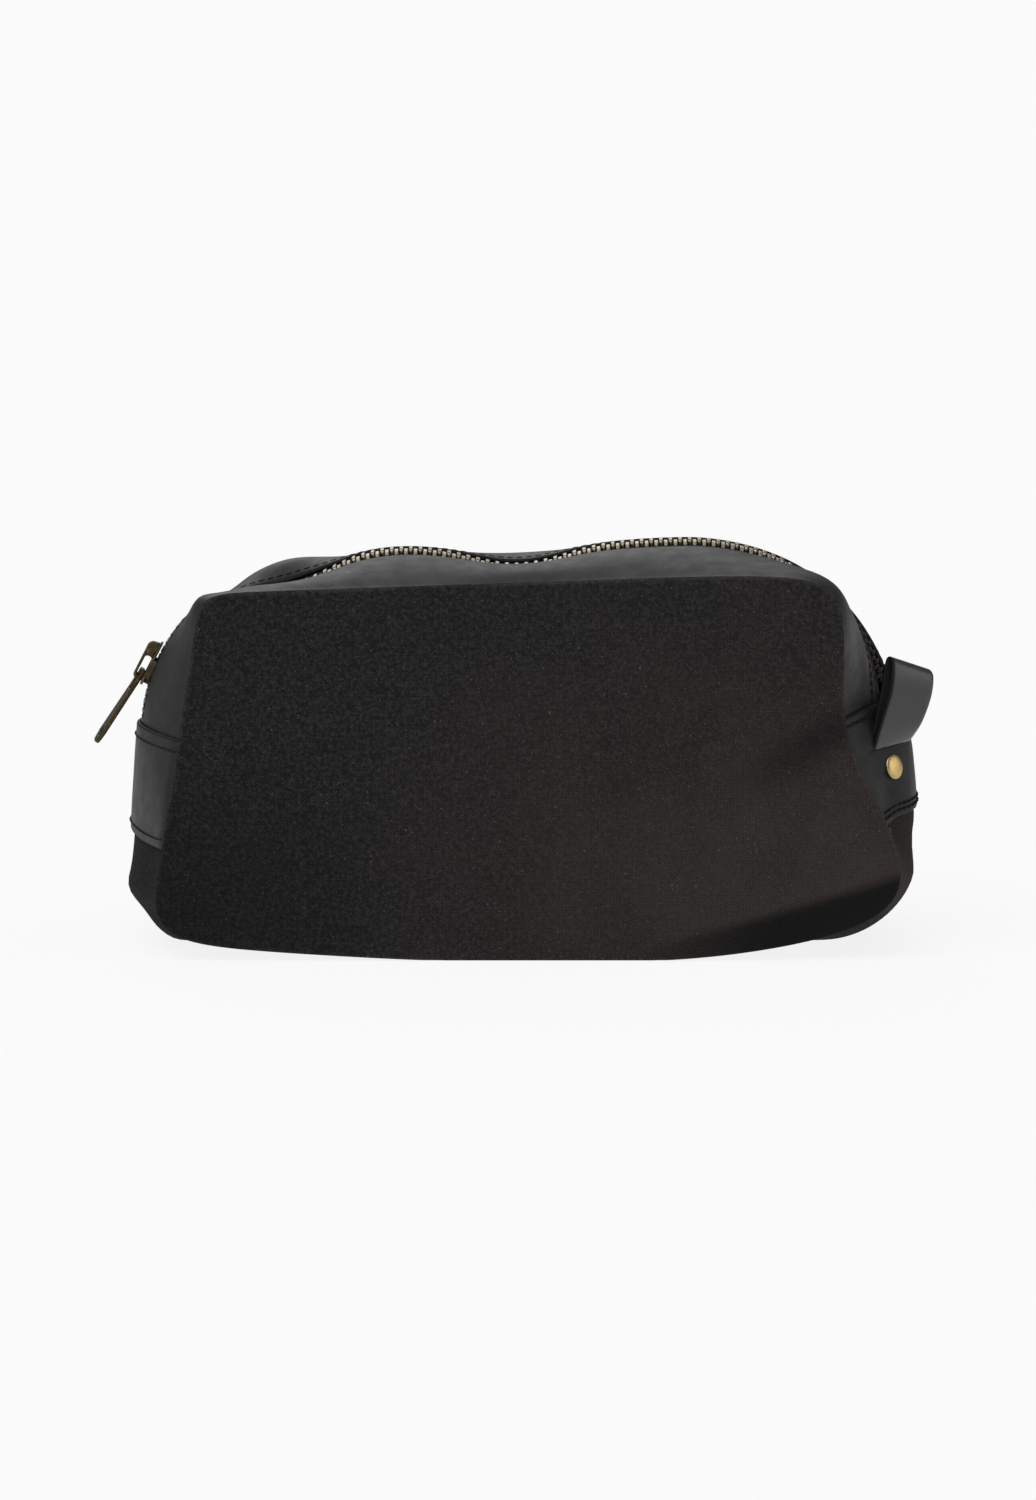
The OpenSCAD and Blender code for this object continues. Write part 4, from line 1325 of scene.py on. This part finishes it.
def lathe(name, profile, matrix, material):
    """A turned piece from (radius, height) points in millimetres, from its axis back to its axis."""
    inner = [p for p in profile if p[0] > 0]
    turns = [2 * math.pi * k / LATHE_SEGMENTS for k in range(LATHE_SEGMENTS)]
    points = [np.array([r * math.cos(a), r * math.sin(a), z]) for r, z in inner for a in turns]
    faces = grid_faces(len(inner), LATHE_SEGMENTS, wrap=True)
    base = len(points)
    points += [np.array([0, 0, profile[0][1]]), np.array([0, 0, profile[-1][1]])]
    last = (len(inner) - 1) * LATHE_SEGMENTS
    for k in range(LATHE_SEGMENTS):
        after = (k + 1) % LATHE_SEGMENTS
        faces += [(base, after, k), (base + 1, last + k, last + after)]
    points = [np.array(matrix @ Vector(p * MM)) for p in points]
    return metal_piece(name, points, faces, [RIVET_WEAR] * len(points), material, sharp=50)


def make_rivet():
    p = skin(RIVET_Q, 0.0)
    across = across_at(RIVET_Q)
    up = unit(skin(SLIT_Q - 0.05, 0.0) - p)
    up = unit(up - across * (up @ across))
    normal = np.cross(across, up)
    matrix = frame_matrix(p - across * 1.2 * MM, up, across, normal)
    top = TAB_TOP / MM
    profile = [(0, top - 0.4), (3.4, top - 0.4), (3.85, top + 0.05), (4.0, top + 0.4), (3.9, top + 0.7),
               (3.5, top + 0.95), (2.6, top + 1.12), (1.4, top + 1.2), (0.5, top + 1.22), (0, top + 1.22)]
    settle(lathe("rivet_head", profile, matrix, RIVET), ["rivet_cap"])


make_loop()
make_tail()
make_slit()
make_rivet()

# ---- lining
LINING_GAP, LINING_INSET, LINING_T = 0.9 * MM, 3.2 * MM, 0.5 * MM


def make_linings():
    for name, node, side in (("lining_front", "front_lining", -1), ("lining_back", "back_lining", 1)):
        outer, uv, _ = panel_grid(side, -LINING_GAP, LINING_INSET, 90)
        inner, _, _ = panel_grid(side, -LINING_GAP - LINING_T, LINING_INSET, 90)
        settle(shell(name, outer, inner, uv, [LINING], sharp=60), [node])
    rows = gusset_rows(RIGHT_TAB[0], 8 + LEFT_TAB[1], 3 * MM)
    q, v = np.meshgrid(rows, np.linspace(-0.95, 0.95, 40), indexing="ij")
    low = -2.2 * MM - 4.6 * MM * turned(q) + 0.3 * MM * ripple(q * 40 * MM, v * 45 * MM, 25 * MM, 8)
    settle(skin_sheet("lining_gusset", q, v, low, LINING_T, LINING), ["gusset_lining"])


make_linings()

# The rivet's washer and post stay as the CAD made them, with a brass finish.
rivet_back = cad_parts["rivet_back"]
rivet_back.data.materials.clear()
rivet_back.data.materials.append(RIVET)


# ---- floor, light and camera
FLOOR_HALF = 40


def make_floor():
    corners = [(-FLOOR_HALF, -FLOOR_HALF, 0), (FLOOR_HALF, -FLOOR_HALF, 0),
               (FLOOR_HALF, FLOOR_HALF, 0), (-FLOOR_HALF, FLOOR_HALF, 0)]
    mesh = bpy.data.meshes.new("floor")
    mesh.from_pydata(corners, [], [(0, 1, 2, 3)])
    floor = bpy.data.objects.new("floor", mesh)
    floor.location.z = -0.2 * MM
    bpy.context.scene.collection.objects.link(floor)
    glow = {"Emission Color": (1, 1, 1, 1), "Emission Strength": 0.86}
    mesh.materials.append(Finish("floor").done((0.12, 0.12, 0.12), 1.0, shine=0.0, **glow))


STUDIO_GLOW = 0.21
# Broad soft lights: direction, strength, and the cosine from that direction at which each fades out.
LIGHTS = (((-0.25, -0.6, 0.75), 2.85, 0.75), ((-0.12, 0.8, 0.5), 2.6, 0.93), ((-1, 0.1, 0.1), 0.35, 0.75),
          ((0.97, 0.0, 0.2), 2.2, 0.93))


def make_world():
    """A white studio all round, with the soft lights in it."""
    world = bpy.data.worlds.new("studio")
    bpy.context.scene.world = world
    world.use_nodes = True
    nodes = Nodes(world.node_tree)
    direction = nodes.add("ShaderNodeTexCoord").outputs["Generated"]
    strength = STUDIO_GLOW
    for towards, power, edge in LIGHTS:
        inputs = {0: direction, 1: tuple(unit(np.array(towards)))}
        facing = nodes.add("ShaderNodeVectorMath", inputs, operation="DOT_PRODUCT").outputs["Value"]
        strength = nodes.plus(strength, nodes.remap(facing, edge, 1.0, 0.0, power))
    nodes.put(world.node_tree.nodes["Background"], {"Color": (1, 1, 1, 1), "Strength": strength})


def make_camera():
    """Looks from six degrees above level at the middle of the bag."""
    distance, elevation = 2.5, math.radians(6)
    target = Vector((-2 * MM, 0, 60.25 * MM))
    data = bpy.data.cameras.new("camera")
    data.sensor_fit, data.sensor_height, data.lens = "VERTICAL", 36, 188.7
    data.clip_start, data.clip_end = 0.05, 100
    camera = bpy.data.objects.new("camera", data)
    camera.location = target + distance * Vector((0, -math.cos(elevation), math.sin(elevation)))
    camera.rotation_euler = (target - camera.location).to_track_quat("-Z", "Y").to_euler()
    bpy.context.scene.collection.objects.link(camera)
    bpy.context.scene.camera = camera


make_floor()
make_world()
make_camera()
bpy.context.scene.view_settings.view_transform = "Standard"
